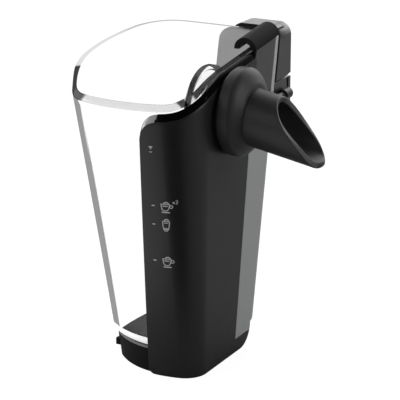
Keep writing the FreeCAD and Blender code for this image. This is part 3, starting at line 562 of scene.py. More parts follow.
SATIN_BLACK = add_grain(plain_material("satin black", even_grey(0.016), 0.38), 0.12)
MATT_BLACK = add_grain(plain_material("matt black", even_grey(0.012), 0.6, Specular_IOR_Level=0.1), 0.1)
SOFT_BLACK = add_grain(plain_material("soft black", even_grey(0.042), 0.45, Specular_IOR_Level=0.35), 0.1)
# Painted highlight on the gloss band's rounded left end.
PAINTED_BAND_HIGHLIGHT = plain_material("painted band end highlight", even_grey(0.45), 0.1)
# Painted highlight along the rounded top edge of the foot's front.
PAINTED_EDGE_HIGHLIGHT = plain_material("painted edge highlight", even_grey(0.12), 0.5)
# Painted highlight on the spout's lip.
PAINTED_LIP_HIGHLIGHT = plain_material("painted lip highlight", even_grey(0.11), 0.5, Specular_IOR_Level=0.3)
GLOSS_BLACK = plain_material("gloss black", even_grey(0.004), 0.1, Specular_IOR_Level=0.05)
LIGHT_GREY = add_grain(plain_material("satin grey", (0.44, 0.45, 0.45, 1.0), 0.5), 0.08)
# Painted light: a lighter grey that glows a little, on the rear shell behind the jug and in its shaded upper
# right corner.
PAINTED_GLOW_GREY = plain_material(
    "painted glow grey", even_grey(0.8), 0.5, Emission_Color=even_grey(1.0), Emission_Strength=0.06)
SILICONE = plain_material("white silicone", even_grey(0.75), 0.6)
# Own colour of the button and housing; on the cover's hook plate it is a painted reflection, and on the
# catch's top painted light.
BLOCK_GREY = plain_material("dark grey block", even_grey(0.045), 0.28, Specular_IOR_Level=1.0)
# Painted highlight along the rear edge of the cover's hook plate.
PAINTED_PLATE_HIGHLIGHT = plain_material("painted plate edge highlight", even_grey(0.6), 0.4)
DARK_STEEL = plain_material("blackened steel", even_grey(0.03), 0.4)
STEEL = plain_material("drawn steel", even_grey(0.55), 0.3, Metallic=1.0)
PRINT = plain_material("pale print", even_grey(0.8), 0.55)
CLEAR_INSIDE = clear_material("clear inside", passed=1.0, gloss=0.01)
CLEAR_WALL = clear_material("clear outer wall", passed=1.0, gloss=0.01)
edge_tint(CLEAR_WALL, dark=0.3, low=0.636, high=0.648)
# Painted light on the rim: painted shade at its front left corner and a painted reflection of the frame on
# its right side.
CLEAR_RIM = clear_material("clear rim", passed=0.74, gloss=0.015)
rim_tint(CLEAR_RIM)
# The cup's dark ring is painted shade.
CLEAR_CUP = clear_material("clear cup", passed=0.95, gloss=0.05)
cup_tint(CLEAR_CUP)
# Painted highlight: the heel band glows.
PAINTED_GLOW_HEEL = plain_material(
    "painted glow heel", even_grey(0.9), 0.3, Emission_Color=even_grey(1.0), Emission_Strength=0.55)
clear_from_inside(PAINTED_GLOW_HEEL)


def finish_piece(item, body, slot, *materials, replaces=()):
    """Give a piece its materials, its body and the CAD nodes that it stands for; slot is not used."""
    item.data.materials.clear()
    for material in materials:
        item.data.materials.append(material)
    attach(item, body)
    if replaces:
        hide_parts(*replaces)
    return item


def paint_faces(item, choose):
    """Give each face the material number that a rule chooses from the faces' middles and normals.

    The middles are in millimetres.
    """
    faces = item.data.polygons
    middles = np.empty(len(faces) * 3)
    normals = np.empty(len(faces) * 3)
    faces.foreach_get("center", middles)
    faces.foreach_get("normal", normals)
    numbers = choose(middles.reshape(-1, 3) / MM, normals.reshape(-1, 3))
    faces.foreach_set("material_index", numbers.astype(np.int32))
    item.data.update()


# Clear jug


def jug_columns():
    """Stretch counts round the jug, in as many steps as each side or corner needs."""
    steps = (30, 20, 30, 14, 26, 26, 30, 20)
    return np.concatenate([side + np.arange(count) / count for side, count in enumerate(steps)])


def jug_rows():
    """Rows of the jug's ruled wall, up the outside from its rounded heel, over the rim and down to the floor.

    Each row has a height between the floor and the rim, and an offset from the outer wall. The rim's height
    follows from y, which follows from the height, so it is found by repeating. The lip's section, from its
    outer to its inner edge, is given as shares of the wall's thickness and of the bevel's height.
    """
    first_guess, rounds = 130.0, 8
    lip_in, lip_width = 0.3, TANK_WALL - 0.1
    lip = np.array([0.0, 0.08, 0.2, 0.8, 0.92, 1.0])[:, None]
    lip_rise = np.array([0.0, 0.16, 0.3, 0.96, 1.0, 0.98])[:, None]
    u = jug_columns()
    top = np.full(u.shape, first_guess)
    for _ in range(rounds):
        top = rim_height(wall(u, top, 0.0)[:, 1])
    bevel = rim_bevel(wall(u, top, 0.0)[:, 1])
    turn = np.linspace(0, math.pi / 2, 7)[:, None]
    floor = TANK_LOW + np.zeros_like(u)
    inner_floor = floor + TANK_FLOOR
    share = np.linspace(0, 1, 60)[:, None]
    heights = [
        floor + TANK_HEEL * (1 - np.cos(turn)),
        lerp(floor + TANK_HEEL, top - bevel, share[1:]),
        lerp(top - bevel, top, lip_rise[1:]),
        lerp(top - lip_in, inner_floor + INNER_HEEL, share),
        inner_floor + INNER_HEEL * (1 - np.sin(turn[1:])),
    ]
    wall_u = np.ones_like(u)
    offsets = [
        -TANK_HEEL * (1 - np.sin(turn)) * wall_u,
        np.zeros_like(share[1:]) * wall_u,
        -lip[1:] * lip_width * wall_u,
        np.full_like(share, -TANK_WALL) * wall_u,
        -(TANK_WALL + INNER_HEEL * (1 - np.cos(turn[1:]))) * wall_u,
    ]
    return wall(u, np.concatenate(heights), np.concatenate(offsets))


def make_jug():
    """Jug of even thickness with a flat floor inside, the chamber's cup and the milk channel."""
    jug = closed_tube("clear_jug", jug_rows())
    carve(jug, chamber_cup(), "UNION")
    carve(jug, chamber_bore())
    carve(jug, milk_channel())
    # The heel's material is a painted glow standing for a highlight along the heel band.
    finish_piece(jug, "tank", "clear_plastic", CLEAR_INSIDE, CLEAR_WALL, CLEAR_RIM, CLEAR_CUP, PAINTED_GLOW_HEEL,
                 replaces=["milk_tank"])
    paint_faces(jug, jug_zones)
    return jug


def chamber_cup():
    """Outside of the chamber's cup: a turned form with a rounded end, into the jug's right wall."""
    inside_wall = TANK_RIGHT - 1.2
    profile = [(CUP_END, CUP_RADIUS - 0.9), (CUP_END + 0.3, CUP_RADIUS - 0.3)]
    profile += [(CUP_END + CUP_ROUND, CUP_RADIUS), (inside_wall, CUP_RADIUS)]
    return closed_tube("cup", turned(profile, CHAMBER_Y, CHAMBER_Z))


def chamber_bore():
    """Room inside the cup: a turned form with a bevelled floor, out through the jug's right wall."""
    bevel, beyond_wall = 0.6, 26.0
    profile = [(CUP_FLOOR, CUP_BORE - bevel), (CUP_FLOOR + bevel, CUP_BORE), (beyond_wall, CUP_BORE)]
    return closed_tube("bore", turned(profile, CHAMBER_Y, CHAMBER_Z))


def milk_channel():
    """Groove in the right wall's outside, from near the floor up to the chamber."""
    beyond_wall = TANK_RIGHT + 3.0
    low = (TANK_RIGHT - CHANNEL_DEPTH, CHANNEL_FRONT, CHANNEL_LOW)
    high = (beyond_wall, CHANNEL_REAR, CHAMBER_Z)
    return block_between("channel", low, high)


def jug_zones(places, normals):
    """Material number of each face of the jug: 0 inside, 1 outer wall, 2 rim, 3 chamber cup, 4 heel.

    A face looks outwards where its normal leads away from the middle of the plan at its height.
    """
    slack, ring_width, ring_rise = 0.1, 0.7, 0.8
    x, y, z = places.T
    middle_x = lerp(PLAN_MIDDLE_LOW[0], PLAN_MIDDLE_HIGH[0], z / MOUTH_Z)
    middle_y = lerp(PLAN_MIDDLE_LOW[1], PLAN_MIDDLE_HIGH[1], z / MOUTH_Z)
    outward = normals[:, 0] * (x - middle_x) + normals[:, 1] * (y - middle_y) > 0
    upward = normals[:, 2] > 0.3
    rim = (z > rim_height(y) - rim_bevel(y) - slack / 2) & (outward | upward)
    from_axis = np.hypot(y - CHAMBER_Y, z - CHAMBER_Z)
    inside_wall = TANK_RIGHT - TANK_WALL - slack
    chamber = (x > CUP_END - slack) & (x < inside_wall) & (from_axis < CUP_RADIUS + 2 * slack)
    floor_ring = (from_axis > CUP_BORE - ring_width) & (x > CUP_FLOOR - slack) & (x < CUP_FLOOR + ring_rise)
    cup = chamber & ((from_axis > CUP_RADIUS - CUP_ROUND) | floor_ring)
    # Painted highlight: the heel band's outer faces take a glowing material.
    heel = outward & (z < TANK_LOW + HEEL_BAND)
    return np.select([cup, rim, chamber, heel, outward], [3, 2, 0, 4, 1], 0)


# Black cover


def cover_edge(x, y):
    """Top edge of the cover: swept in side view, rounded at its left corner, stepped up under the hook."""
    edge = swept_edge(y, start=-36.6, front=COVER_FRONT, up_radius=20.0, up_angle=28.0, down_radius=110.0)
    inset = np.clip(COVER_CORNER - (x - COVER_LEFT), 0, COVER_CORNER)
    rounded = COVER_FRONT - COVER_CORNER + np.sqrt(COVER_CORNER ** 2 - inset ** 2)
    edge = np.where((inset > 0) & (y < 0), np.minimum(edge, rounded), edge)
    under_hook = smooth_step(y, HOOK_FRONT - 0.2, HOOK_FRONT + 0.2)
    return lerp(edge, np.maximum(edge, hook_height(y)), under_hook)


def cover_u(share, z, offset):
    """Stretch count across the cover, from its left edge to just behind the rear right corner's centre."""
    left = find_u(0, COVER_LEFT, z, offset, u_below=0.0, u_above=1.2)
    rear = find_u(1, corner_line(z) + COVER_REAR, z, offset, u_below=2.5, u_above=3.9)
    return lerp(left, rear, share)


def cover_rows(wall_rows):
    """Rows of the cover's wall: wall_rows up the outside, some over the edge band, wall_rows down the inside.

    The top edge follows from the place, which follows from the height, so it is found by repeating. The lower
    left corner is rounded, the band ends at the hook's plate, and the wall thins out at its rear end. The
    band's section, from its outer to its inner edge, is given by distances inwards and below the top.
    """
    first_guess, rounds = 125.0, 10
    left_part, rear_part, rear_turn = 0.12, 0.975, 1.6
    edge_in = np.array([0.0, 0.05, 0.25, 0.7, 1.2, 1.7, 2.0, 2.2, 2.35, COVER_WALL])[:, None]
    edge_drop = np.array([EDGE_BAND, 3.1, 2.8, 1.95, 1.1, 0.4, 0.1, 0.0, 0.1, 0.3])[:, None]
    outer = FIT_GAP + COVER_WALL
    share = np.concatenate([np.linspace(0, left_part, 24), np.linspace(left_part, 1, 170)[1:]])
    top = np.full(share.shape, first_guess)
    for _ in range(rounds):
        place = wall(cover_u(share, top, outer), top, outer)
        top = cover_edge(place[:, 0], place[:, 1])
    low_x = wall(cover_u(share, 0.0, outer), 0.0, outer)[:, 0]
    inset = np.clip(FOOT_CORNER - (low_x - COVER_LEFT), 0, FOOT_CORNER)
    low = FOOT_CORNER - np.sqrt(FOOT_CORNER ** 2 - inset ** 2)
    step = np.linspace(0, 1, wall_rows)[:, None]
    bevelled = 1 - smooth_step(place[:, 1], HOOK_FRONT - 0.3, HOOK_FRONT + 0.1)
    edge_in = lerp(np.linspace(0, COVER_WALL, len(edge_in))[:, None], edge_in, bevelled)
    edge_drop = edge_drop * bevelled
    rise = lerp(low, top - edge_drop[0], step)
    heights = [rise, top - edge_drop[1:-1], rise[::-1]]
    last = np.clip((share - rear_part) / (1 - rear_part), 0, 1)
    flat = outer - rear_turn * (1 - np.sqrt(1 - last ** 2))
    across = 1 - edge_in[1:-1] / COVER_WALL
    offsets = [flat + 0 * step, lerp(FIT_GAP, flat, across), FIT_GAP + 0 * flat + 0 * step]
    z = np.concatenate(heights)
    offset = np.concatenate(offsets)
    return wall(cover_u(share, z, offset), z, offset)


def make_cover():
    """Wall round the jug's front and right, with the rear shell's cut-away, the cap's hole and the heel."""
    wall_rows = 70
    cover = closed_sheet("front_cover", cover_rows(wall_rows), wall_rows)
    carve(cover, rear_window())
    carve(cover, cap_hole())
    carve(cover, below_heel())
    # The last three materials are painted light: a painted reflection grey on the hook plate, a painted
    # highlight on its rear edge and one on the band's left end.
    finish_piece(cover, "frame", "satin_black", SATIN_BLACK, GLOSS_BLACK, BLOCK_GREY, PAINTED_PLATE_HIGHLIGHT, PAINTED_BAND_HIGHLIGHT,
                 replaces=["outer_cover"])
    paint_faces(cover, cover_zones)
    return cover


def cover_zones(places, normals):
    """Material number of each face of the cover.

    0 is the wall, 1 the band along the swept edge, 2 the hook plate in a painted reflection grey, 3 its rear
    edge as a painted highlight, 4 the band's left end as a painted highlight.
    """
    x, y, z = places.T
    band = (z > cover_edge(x, y) - EDGE_BAND + 0.02) & (y < HOOK_FRONT - 0.5)
    # Painted highlight on the band's left end.
    band_highlight = band & (x < BAND_END_RIGHT)
    # Painted reflection grey on the hook plate, and a painted highlight along its rear edge.
    plate = (z > CUT_HIGH_Z) & (y > HOOK_FRONT + 0.5)
    plate_highlight = plate & (y > corner_line(z) - PLATE_EDGE)
    return np.select([band_highlight, band, plate_highlight, plate], [4, 1, 3, 2], 0)


def rear_window():
    """Prism of the cut-away for the rear shell, open to the rear."""
    left, right = 0.0, 60.0
    outline = np.array([
        (CUT_FRONT_LOW, CUT_LOW_Z), (CUT_REAR, CUT_LOW_Z),
        (CUT_REAR, CUT_HIGH_Z), (CUT_FRONT_HIGH, CUT_HIGH_Z),
    ])
    return side_prism("window", outline, left, right)


def cap_hole():
    """Cylinder of the hole that the chamber cap's neck goes through."""
    left, right = 5.0, 40.0
    return closed_tube("hole", turned([(left, NECK_RADIUS), (right, NECK_RADIUS)], CHAMBER_Y, CHAMBER_Z))


def below_heel():
    """Prism of what lies under the rounded lower rear edge: a quarter circle about (HEEL_Y, HEEL_RADIUS)."""
    below, above, behind, half_width = -5.0, HEEL_RADIUS + 8.0, HEEL_Y + 40.0, 60.0
    angle = np.linspace(0, -math.pi / 2, 17)
    arc = np.column_stack([HEEL_Y + HEEL_RADIUS * np.cos(angle), HEEL_RADIUS * (1 + np.sin(angle))])
    rest = np.array([(HEEL_Y, below), (behind, below), (behind, above)])
    return side_prism("heel", np.concatenate([arc, rest]), -half_width, half_width)


# Grey rear shell


def shell_edges():
    """Heights of the rear shell's rows, and where each begins in y at the front and ends in x at the left.

    The rows begin at the cut-away's front line, and above it behind the cover. Up to narrow_high they end at
    narrow_left. From there they reach on to left, with a rounded upper corner.
    """
    gap, step_up, nearly_up = 0.2, 0.01, 0.985
    high, left, radius = 144.4, -10.5, 6.0
    narrow_left, narrow_high = 13.0, 97.0
    low, split = CUT_LOW_Z + gap, CUT_HIGH_Z - gap
    turn = np.linspace(0, math.pi / 2, 9)[1:] * nearly_up
    lower = np.concatenate([np.linspace(low, narrow_high, 38), np.linspace(narrow_high + step_up, split, 3)])
    upper = np.concatenate([np.linspace(split, high - radius, 16), high - radius + radius * np.sin(turn)])
    z_rows = np.concatenate([lower, upper])
    lower_front = CUT_FRONT_LOW + gap + (lower - CUT_LOW_Z) * CUT_LEAN
    front_y = np.concatenate([lower_front, corner_line(upper) + COVER_REAR + gap])
    rise = np.clip(z_rows - (high - radius), 0, radius)
    left_x = np.where(z_rows <= narrow_high, narrow_left, left + radius - np.sqrt(radius ** 2 - rise ** 2))
    return z_rows, front_y, left_x


def shell_rows(z, front_y, left_x, offset):
    """Level rows of points at an offset from the jug's wall, from front_y round the corner to left_x."""
    z = z[:, None]
    start = find_u(1, front_y[:, None], z, offset, u_below=2.0, u_above=3.9)
    end = find_u(0, left_x[:, None], z, offset, u_below=5.9, u_above=3.5)
    u = lerp(start, end, np.linspace(0, 1, 80))
    return wall(u, z, np.full_like(u, offset))


def make_rear_shell():
    """Wall behind the jug: rows up its outside and down its inside, with its foot cut to the heel."""
    edges = shell_edges()
    outside = shell_rows(*edges, FIT_GAP + SHELL_WALL)
    inside = shell_rows(*edges, FIT_GAP)
    shell = closed_sheet("rear_wall", np.concatenate([outside, inside[::-1]]), len(outside))
    carve(shell, below_heel())
    round_edges(shell, width=0.35)
    # The second material is painted light: a lighter grey that glows.
    finish_piece(shell, "frame", "grey_plastic", LIGHT_GREY, PAINTED_GLOW_GREY, replaces=["rear_shell"])
    paint_faces(shell, shell_zones)
    return shell


def shell_zones(places, normals):
    """Rear shell's material numbers: 1, painted light that glows, on faces behind the jug and on the upper
    right corner.
    """
    # Both masks paint light: faces behind the jug and the shaded upper right corner take the glowing lighter
    # grey.
    facing_jug = normals[:, 1] < -0.4
    corner_left = 17.0
    upper_corner = (places[:, 0] > corner_left) & (places[:, 2] > CUT_HIGH_Z)
    return facing_jug | upper_corner


# Spout and chamber cap


def spout_place(along, side, up):
    """Point in the spout's leaning frame: along its axis, to the rear and upwards."""
    x = COVER_RIGHT + along * math.cos(SPOUT_TILT) + up * math.sin(SPOUT_TILT)
    z = CHAMBER_Z - along * math.sin(SPOUT_TILT) + up * math.cos(SPOUT_TILT)
    return np.stack([x, CHAMBER_Y + side + 0 * x, z], -1)


def make_spout():
    """Tapered tube with a rounded lip: its mouth is cut obliquely, turned forward and hollow at its sides.

    The tube is fuller at 45 degrees to each side of its bottom, which grows along it. Faces that look along
    the mouth's own direction carry a painted highlight on the lip.
    """
    root, short, long = 7.2, 22.0, 47.9
    root_radius, mouth_radius, thick = 13.2, 12.4, 2.9
    hollow, turn_in, fuller, edge = 1.5, 1.2, 1.6, 0.6
    mouth_direction, lip_limit = np.array([0.803, 0.0, 0.597]), 0.75
    angle = np.linspace(0, 2 * math.pi, 128, endpoint=False)
    low_part = (1 - np.sin(angle)) / 2
    mouth = lerp(short, long, low_part) - turn_in * np.cos(angle)
    mouth -= hollow * np.cos(angle) ** 2 * (1 + np.sin(angle))
    share = np.linspace(0, 1, 40)[:, None]
    turn = np.linspace(0, math.pi / 2, 5)[:, None]
    along = np.concatenate([
        lerp(root, mouth - edge, share),
        mouth - edge + edge * np.sin(turn[1:]),
        mouth - edge + edge * np.cos(turn[:-1]),
        lerp(mouth - edge, root, share),
    ])
    inset = np.concatenate([
        0 * share,
        edge - edge * np.cos(turn[1:]),
        thick - edge + edge * np.sin(turn[:-1]),
        thick + 0 * share,
    ])
    reach = (along - root) / (long - root)
    radius = lerp(root_radius, mouth_radius, reach) - inset
    radius += fuller * reach * low_part * (1 - np.cos(4 * angle)) / 2
    rows = spout_place(along, radius * np.cos(angle), radius * np.sin(angle))
    spout = closed_ring("pouring_spout", rows)
    finish_piece(spout, "frame", "satin_black", SOFT_BLACK, PAINTED_LIP_HIGHLIGHT, replaces=["spout"])
    # The lip faces get a painted highlight.
    paint_faces(spout, lambda places, normals: normals @ mouth_direction > lip_limit)
    return spout


def make_cap():
    """Turned collar and dome: neck, flared collar with a ridge, then a bowed dome down to the spout."""
    neck_end, neck_bore = -9.7, 11.0
    way_start, way_radius = 3.4, 9.0
    dome_start, dome_end, dome_bow = (6.7, 20.2), (11.4, 13.3), 1.1
    bow = np.linspace(0, 1, 14)[1:]
    dome_x = lerp(dome_start[0], dome_end[0], bow)
    dome_radius = lerp(dome_start[1], dome_end[1], bow) + dome_bow * np.sin(math.pi * bow)
    profile = [(neck_end, neck_bore), (neck_end, NECK_RADIUS), (0.0, NECK_RADIUS)]
    profile += [(0.02, 18.4), (0.5, 18.4), (0.8, 18.7), (1.4, 19.9), (1.9, 20.25)]
    profile += [(2.4, 20.3), (6.2, 20.3), (6.5, 20.28), dome_start]
    profile += list(zip(dome_x, dome_radius))
    profile += [(dome_end[0], way_radius), (way_start, way_radius), (way_start, neck_bore)]
    rows = turned(profile, CHAMBER_Y, CHAMBER_Z, 128, COVER_RIGHT)
    cap = closed_ring("cap_turned", rows, sharp=25.0)
    return finish_piece(cap, "frame", "satin_black", SOFT_BLACK, replaces=["chamber_cap"])


# Hook, button and housing


def make_hook():
    """Half ring with rounded edges, carried along the plate's top edge at the rear angle."""
    outer, inner, length = 5.75, 3.1, 25.0
    middle_x = COVER_RIGHT - outer
    angle = np.linspace(0, math.pi, 40)
    x = np.concatenate([outer * np.cos(angle), inner * np.cos(angle[::-1])])
    lift = np.concatenate([outer * np.sin(angle), inner * np.sin(angle[::-1])])
    along = np.linspace(0, length, 12)[:, None]
    y = HOOK_FRONT + along * math.cos(REAR_ANGLE) - lift * math.sin(REAR_ANGLE)
    z = hook_height(np.array(HOOK_FRONT)) + along * math.sin(REAR_ANGLE) + lift * math.cos(REAR_ANGLE)
    rows = np.stack([middle_x + x + 0 * y, y, z], -1)
    count = len(angle)
    columns = 2 * count
    quads = grid_faces(len(along), columns, True)
    outer_index = np.arange(count - 1)
    cap = np.stack([outer_index, outer_index + 1, columns - 2 - outer_index, columns - 1 - outer_index], 1)
    ends = [cap[:, ::-1], cap + (len(along) - 1) * columns]
    hook = new_object("hook_arch", rows, [quads, *ends])
    round_edges(hook, width=0.5)
    return finish_piece(hook, "frame", "satin_black", MATT_BLACK, replaces=["rim_hook"])


def make_block():
    """Release button and housing with softened edges, and the catch, black with painted light in grey
    on its upward faces.
    """
    blocks = (("release_button", "button_block", "button"), ("latch_housing", "housing_block", "frame"))
    for node, name, body in blocks:
        block = merged_copy(node, name)
        round_edges(block, width=0.4)
        finish_piece(block, body, "dark_grey", BLOCK_GREY, replaces=[node])
    catch = merged_copy("button_catch", "catch_block")
    finish_piece(catch, "button", "satin_black", MATT_BLACK, BLOCK_GREY, replaces=["button_catch"])
    # Painted light: the catch's upward faces take the lighter grey of the blocks.
    paint_faces(catch, lambda places, normals: normals[:, 2] > 0.8)


def make_spring():
    """Return spring from the housing's well to the button's."""
    coil = merged_copy("return_spring", "spring_coil")
    smooth_mesh(coil.data)
    coil.data.materials.append(STEEL)
    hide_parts("return_spring")
    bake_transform(coil)
    return coil


def make_housing_corner():
    """Square rear corner of the housing, level with the button's."""
    low, high = (19.0, 67.0, 108.0), (22.9, 71.1, 121.98)
    corner = block_between("housing_corner", low, high)
    return finish_piece(corner, "frame", "dark_grey", BLOCK_GREY)


# Foot


def make_foot():
    """Foot with its rear cut to the rounded heel and its edges softened."""
    foot = carve(merged_copy("foot", "base_foot"), below_heel())
    round_edges(foot, width=0.6)
    return finish_piece(foot, "frame", "satin_black", MATT_BLACK, replaces=["foot"])


def make_foot_front():
    """Front of the foot, from its left corner to the cover: a wall with a rounded top, which swells out."""
    inset, swell, thick = -1.5, 0.9, 1.5
    top, edge = 11.9, 0.45
    left_u, cover_gap = -0.55, 0.06
    share = np.linspace(0, 1, 50)
    outer = lerp(inset, swell, smooth_step(share, 0.25, 1.0))
    rise = np.linspace(0, 1, 6)[:, None]
    turn = np.linspace(0, math.pi / 2, 6)[1:, None]
    heights = [(top - edge) * rise, top - edge + edge * np.sin(turn), (top - edge) * rise[::-1]]
    offsets = [outer + 0 * rise, outer - edge * (1 - np.cos(turn)), inset - thick + 0 * outer + 0 * rise]
    z = np.concatenate([height + 0 * share for height in heights])
    offset = np.concatenate(offsets)
    last = find_u(0, COVER_LEFT - cover_gap, z, offset, u_below=0.0, u_above=1.2)
    front = closed_sheet("foot_front", wall(lerp(left_u, last, share), z, offset), len(rise))
    finish_piece(front, "frame", "satin_black", MATT_BLACK, PAINTED_EDGE_HIGHLIGHT)
    # The rounded top edge gets a painted highlight in a lighter grey.
    paint_faces(front, lambda places, normals: places[:, 2] > top - edge + 0.01)
    return front


# Printed marks, as strokes of a path, a width and whether the path is closed


def cover_front(x, z, stand):
    """Point on the cover's front at x and z, standing off by stand."""
    offset = FIT_GAP + COVER_WALL + stand
    return wall(find_u(0, x, z, offset, u_below=0.0, u_above=1.9), z, offset)


def stroke(path, width, closed):
    """Rings of four corners along a flat path of (x, z) points on the cover, half the width to each side."""
    path = np.asarray(path, float)
    if closed:
        along = np.roll(path, -1, 0) - np.roll(path, 1, 0)
    else:
        along = np.gradient(path, axis=0)
    along /= np.hypot(along[:, 0], along[:, 1])[:, None]
    side = np.stack([-along[:, 1], along[:, 0]], 1) * width / 2
    corners = np.stack([path + side, path - side, path - side, path + side], 1)
    stand = np.array([PRINT_PROUD, PRINT_PROUD, -PRINT_SUNK, -PRINT_SUNK])
    return cover_front(corners[..., 0], corners[..., 1], np.broadcast_to(stand, corners.shape[:2]))


def bowl(x, z, width, depth, count=24):
    """Path of a bowl's section: down one side, round the bottom and up the other."""
    angle = np.linspace(math.pi, 2 * math.pi, count)
    round_part = np.sign(np.cos(angle)) * np.abs(np.cos(angle)) ** 0.7
    return np.column_stack([x + width / 2 * round_part, z + depth * np.sin(angle)])


def circle(x, z, radius, count=20):
    """Path round a circle."""
    angle = np.linspace(0, 2 * math.pi, count, endpoint=False)
    return np.column_stack([x + radius * np.cos(angle), z + radius * np.sin(angle)])


def straight(x_first, z_first, x_last, z_last):
    """Path along a straight line."""
    part = np.linspace(0, 1, 5)[:, None]
    return lerp(np.array([[x_first, z_first]]), np.array([[x_last, z_last]]), part)


def level_signs():
    """Strokes of three level marks, of the line under the highest level and of the pointer down to it."""
    pointer = ((4.0, 5.75, 110.3), (4.4, 5.35, 109.8), (4.7, 5.05, 109.3))
    strokes = [(straight(4.6, level, 6.0, level), 0.5, False) for level in (83.0, 74.2, 56.9)]
    strokes += [(straight(4.2, 107.9, 5.5, 107.9), 0.35, False)]
    strokes += [(straight(left, level, right, level), 0.5, False) for left, right, level in pointer]
    return strokes


def cup_sign(x, z):
    """Strokes of a cup with froth, a handle and a saucer, from its upper left corner."""
    return [
        (bowl(x + 2.0, z - 0.6, 3.7, 3.3), 0.42, False),
        (straight(x + 0.3, z - 0.75, x + 3.7, z - 0.75), 0.4, False),
        (straight(x + 0.8, z - 1.7, x + 3.2, z - 1.7), 0.5, False),
        (bowl(x + 2.4, z - 0.7, 2.0, -0.8), 0.5, False),
        (circle(x + 4.5, z - 1.9, 0.65), 0.4, True),
        (straight(x + 0.4, z - 4.6, x + 4.0, z - 4.6), 0.55, False),
    ]


def glass_sign(x, z):
    """Strokes of a tall glass with froth, from its upper left corner."""
    return [
        (bowl(x + 1.7, z - 1.0, 3.0, 4.6), 0.42, False),
        (straight(x + 0.3, z - 0.95, x + 3.1, z - 0.95), 0.4, False),
        (bowl(x + 1.9, z - 0.9, 1.8, -0.8), 0.5, False),
        (straight(x + 0.7, z - 1.8, x + 2.7, z - 1.8), 0.4, False),
        (straight(x + 0.9, z - 4.6, x + 2.5, z - 4.6), 0.8, False),
    ]


def twice_sign(x, z):
    """Strokes of a small x2, from its lower left corner."""
    two = np.array([(1.1, 1.4), (1.6, 1.7), (1.9, 1.3), (1.7, 0.8), (1.1, 0.0), (2.0, 0.0)])
    return [
        (straight(x, z, x + 0.7, z + 1.0), 0.3, False),
        (straight(x, z + 1.0, x + 0.7, z), 0.3, False),
        (two + (x, z), 0.3, False),
    ]


def make_marks():
    """Level marks and signs printed on the cover's front, each stroke a closed bar laid on the wall."""
    strokes = level_signs() + cup_sign(8.7, 84.7) + glass_sign(9.2, 76.9) + cup_sign(8.9, 58.7)
    strokes += twice_sign(13.9, 84.2)
    points, face_sets, start = [], [], 0
    for path, width, closed in strokes:
        rings = stroke(path, width, closed)
        count = len(rings)
        face_sets.append(grid_faces(count + closed, 4, True) % (count * 4) + start)
        if not closed:
            face_sets.append(np.array([[3, 2, 1, 0], np.arange(4) + (count - 1) * 4]) + start)
        points.append(rings.reshape(-1, 3))
        start += count * 4
    marks = new_object("printed_marks", np.concatenate(points), face_sets)
    return finish_piece(marks, "frame", "grey_plastic", PRINT)


def dress_plain_nodes():
    """Materials of the CAD nodes that are shown as they are."""
    looks = {
        "channel_seal": SILICONE, "chamber_seal": SILICONE, "steam_socket": SATIN_BLACK,
        "socket_seal": SILICONE, "steam_elbow": SATIN_BLACK, "steam_pipe": DARK_STEEL, "steam_nozzle": STEEL,
        "pivot_pin": STEEL,
    }
    for node, material in looks.items():
        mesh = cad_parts[node].data
        mesh.materials.clear()
        mesh.materials.append(material)


# Stage


def lobe(tree, around, direction, low, high):
    """Brightness of a soft patch of the surroundings about one direction."""
    dot = add_node(tree, "ShaderNodeVectorMath", {0: around.outputs["Generated"], 1: direction},
                   operation="DOT_PRODUCT")
    span = add_node(tree, "ShaderNodeMapRange",
                    {"Value": dot.outputs["Value"], "From Min": low, "From Max": high},
                    interpolation_type="SMOOTHSTEP")
    return span.outputs[0]


def make_surroundings():
    """White where the camera looks, and otherwise a dim room with a bright patch behind the object.

    What shows through glass has a patch of its own.
    """
    world = bpy.data.worlds.new("white room")
    bpy.context.scene.world = world
    world.use_nodes = True
    tree = world.node_tree
    tree.nodes.clear()
    rays = add_node(tree, "ShaderNodeLightPath").outputs
    around = add_node(tree, "ShaderNodeTexCoord")
    behind = lobe(tree, around, (-0.47, 0.88, 0.05), 0.35, 0.8)
    through = lobe(tree, around, (-0.447, 0.842, -0.3), 0.55, 0.85)
    room = add_node(tree, "ShaderNodeMixRGB", {0: behind, 1: even_grey(0.05), 2: even_grey(1.4)})
    glass_room = add_node(tree, "ShaderNodeMixRGB", {0: through, 1: even_grey(0.12), 2: even_grey(1.0)})
    unseen = add_node(tree, "ShaderNodeMixRGB",
                      {0: rays["Is Transmission Ray"], 1: room.outputs[0], 2: glass_room.outputs[0]})
    colour = add_node(tree, "ShaderNodeMixRGB",
                      {0: rays["Is Camera Ray"], 1: unseen.outputs[0], 2: even_grey(1.0)})
    light = add_node(tree, "ShaderNodeBackground", {"Color": colour.outputs[0]})
    add_node(tree, "ShaderNodeOutputWorld", {"Surface": light.outputs[0]})


def floor_material():
    """Grey that lights the object from below, and white with a faint shadow where the floor is seen."""
    material = new_material("white floor")
    tree = material.node_tree
    tree.nodes.remove(tree.nodes["Principled BSDF"])
    lit = add_node(tree, "ShaderNodeBsdfDiffuse", {"Color": even_grey(0.45)})
    faint = add_node(tree, "ShaderNodeBsdfDiffuse", {"Color": even_grey(0.14)})
    glow = add_node(tree, "ShaderNodeEmission", {"Strength": 0.95})
    white = add_node(tree, "ShaderNodeAddShader", {0: faint.outputs[0], 1: glow.outputs[0]})
    rays = add_node(tree, "ShaderNodeLightPath").outputs
    seen = add_node(tree, "ShaderNodeMath", {0: rays["Is Camera Ray"], 1: rays["Is Transmission Ray"]},
                    operation="MAXIMUM")
    either = add_node(tree, "ShaderNodeMixShader",
                      {0: seen.outputs[0], 1: lit.outputs[0], 2: white.outputs[0]})
    show_surface(tree, either)
    return material


def flat_sheet(name, corners, material):
    """Four-cornered sheet of the stage."""
    sheet = new_object(name, corners, [np.array([[0, 1, 2, 3]])])
    sheet.data.materials.append(material)
    return sheet


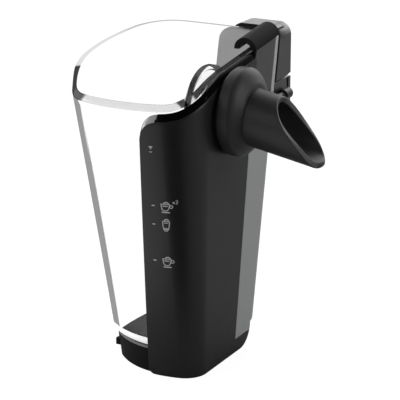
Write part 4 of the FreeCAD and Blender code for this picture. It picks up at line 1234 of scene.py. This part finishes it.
def add_card(name, corners, strength):
    """Card on the floor that shows only in reflections, black or glowing."""
    material = plain_material(name, even_grey(0.0), 1.0, Specular_IOR_Level=0.0,
                              Emission_Color=even_grey(1.0), Emission_Strength=strength)
    card = flat_sheet(name, corners, material)
    card.visible_camera = False
    card.visible_diffuse = False
    card.visible_transmission = False
    card.visible_shadow = False


def look_along(name, data, place, aim):
    """Lamp or camera at a place in metres, looking along a direction."""
    item = bpy.data.objects.new(name, data)
    item.matrix_world = Matrix.Translation(place) @ aim.to_track_quat("-Z", "Y").to_matrix().to_4x4()
    bpy.context.scene.collection.objects.link(item)
    return item


def add_lamp(name, place, target, width, power):
    """Square soft lamp that looks at a target."""
    lamp = bpy.data.lights.new(name, "AREA")
    lamp.size = width * MM
    lamp.energy = power
    place = Vector(place) * MM
    look_along(name, lamp, place, Vector(target) * MM - place)


def make_stage():
    """White floor that keeps the object's shadow, surroundings, soft lamps, a dark and a bright card."""
    make_surroundings()
    size = 3000.0
    corners = [(-size, -size, 0), (size, -size, 0), (size, size, 0), (-size, size, 0)]
    flat_sheet("floor", corners, floor_material())
    add_lamp("left window", (-900, -150, 420), (0, 0, 80), width=500, power=5.0)
    add_lamp("high window", (-560, -860, 720), (0, 0, 80), width=900, power=3.0)
    add_lamp("right window", (900, 250, 420), (0, 0, 90), width=500, power=2.5)
    add_lamp("rear window", (150, 900, 620), (0, 0, 110), width=600, power=1.5)
    add_card("dark card", [(27, -129, 2), (114, -70, 2), (1309, -760, 2), (219, -1495, 2)], strength=0.0)
    add_card("bright card", [(-130, -20, 2), (10, -130, 2), (110, -1500, 2), (-1500, -200, 2)], strength=1.0)


def make_camera():
    """Long lens from the front right, as in the photograph."""
    camera = bpy.data.cameras.new("camera")
    camera.lens = 171.0
    camera.sensor_width = 36.0
    camera.clip_end = 10.0
    place = Vector((401.1, -732.8, 339.0)) * MM
    aim = Vector((-0.4477, 0.8421, -0.3007))
    bpy.context.scene.camera = look_along("camera", camera, place, aim)


make_jug()
make_cover()
make_rear_shell()
make_spout()
make_cap()
make_hook()
make_block()
make_spring()
make_housing_corner()
make_foot()
make_foot_front()
make_marks()
dress_plain_nodes()
make_stage()
make_camera()

bpy.context.scene.view_settings.view_transform = "Standard"
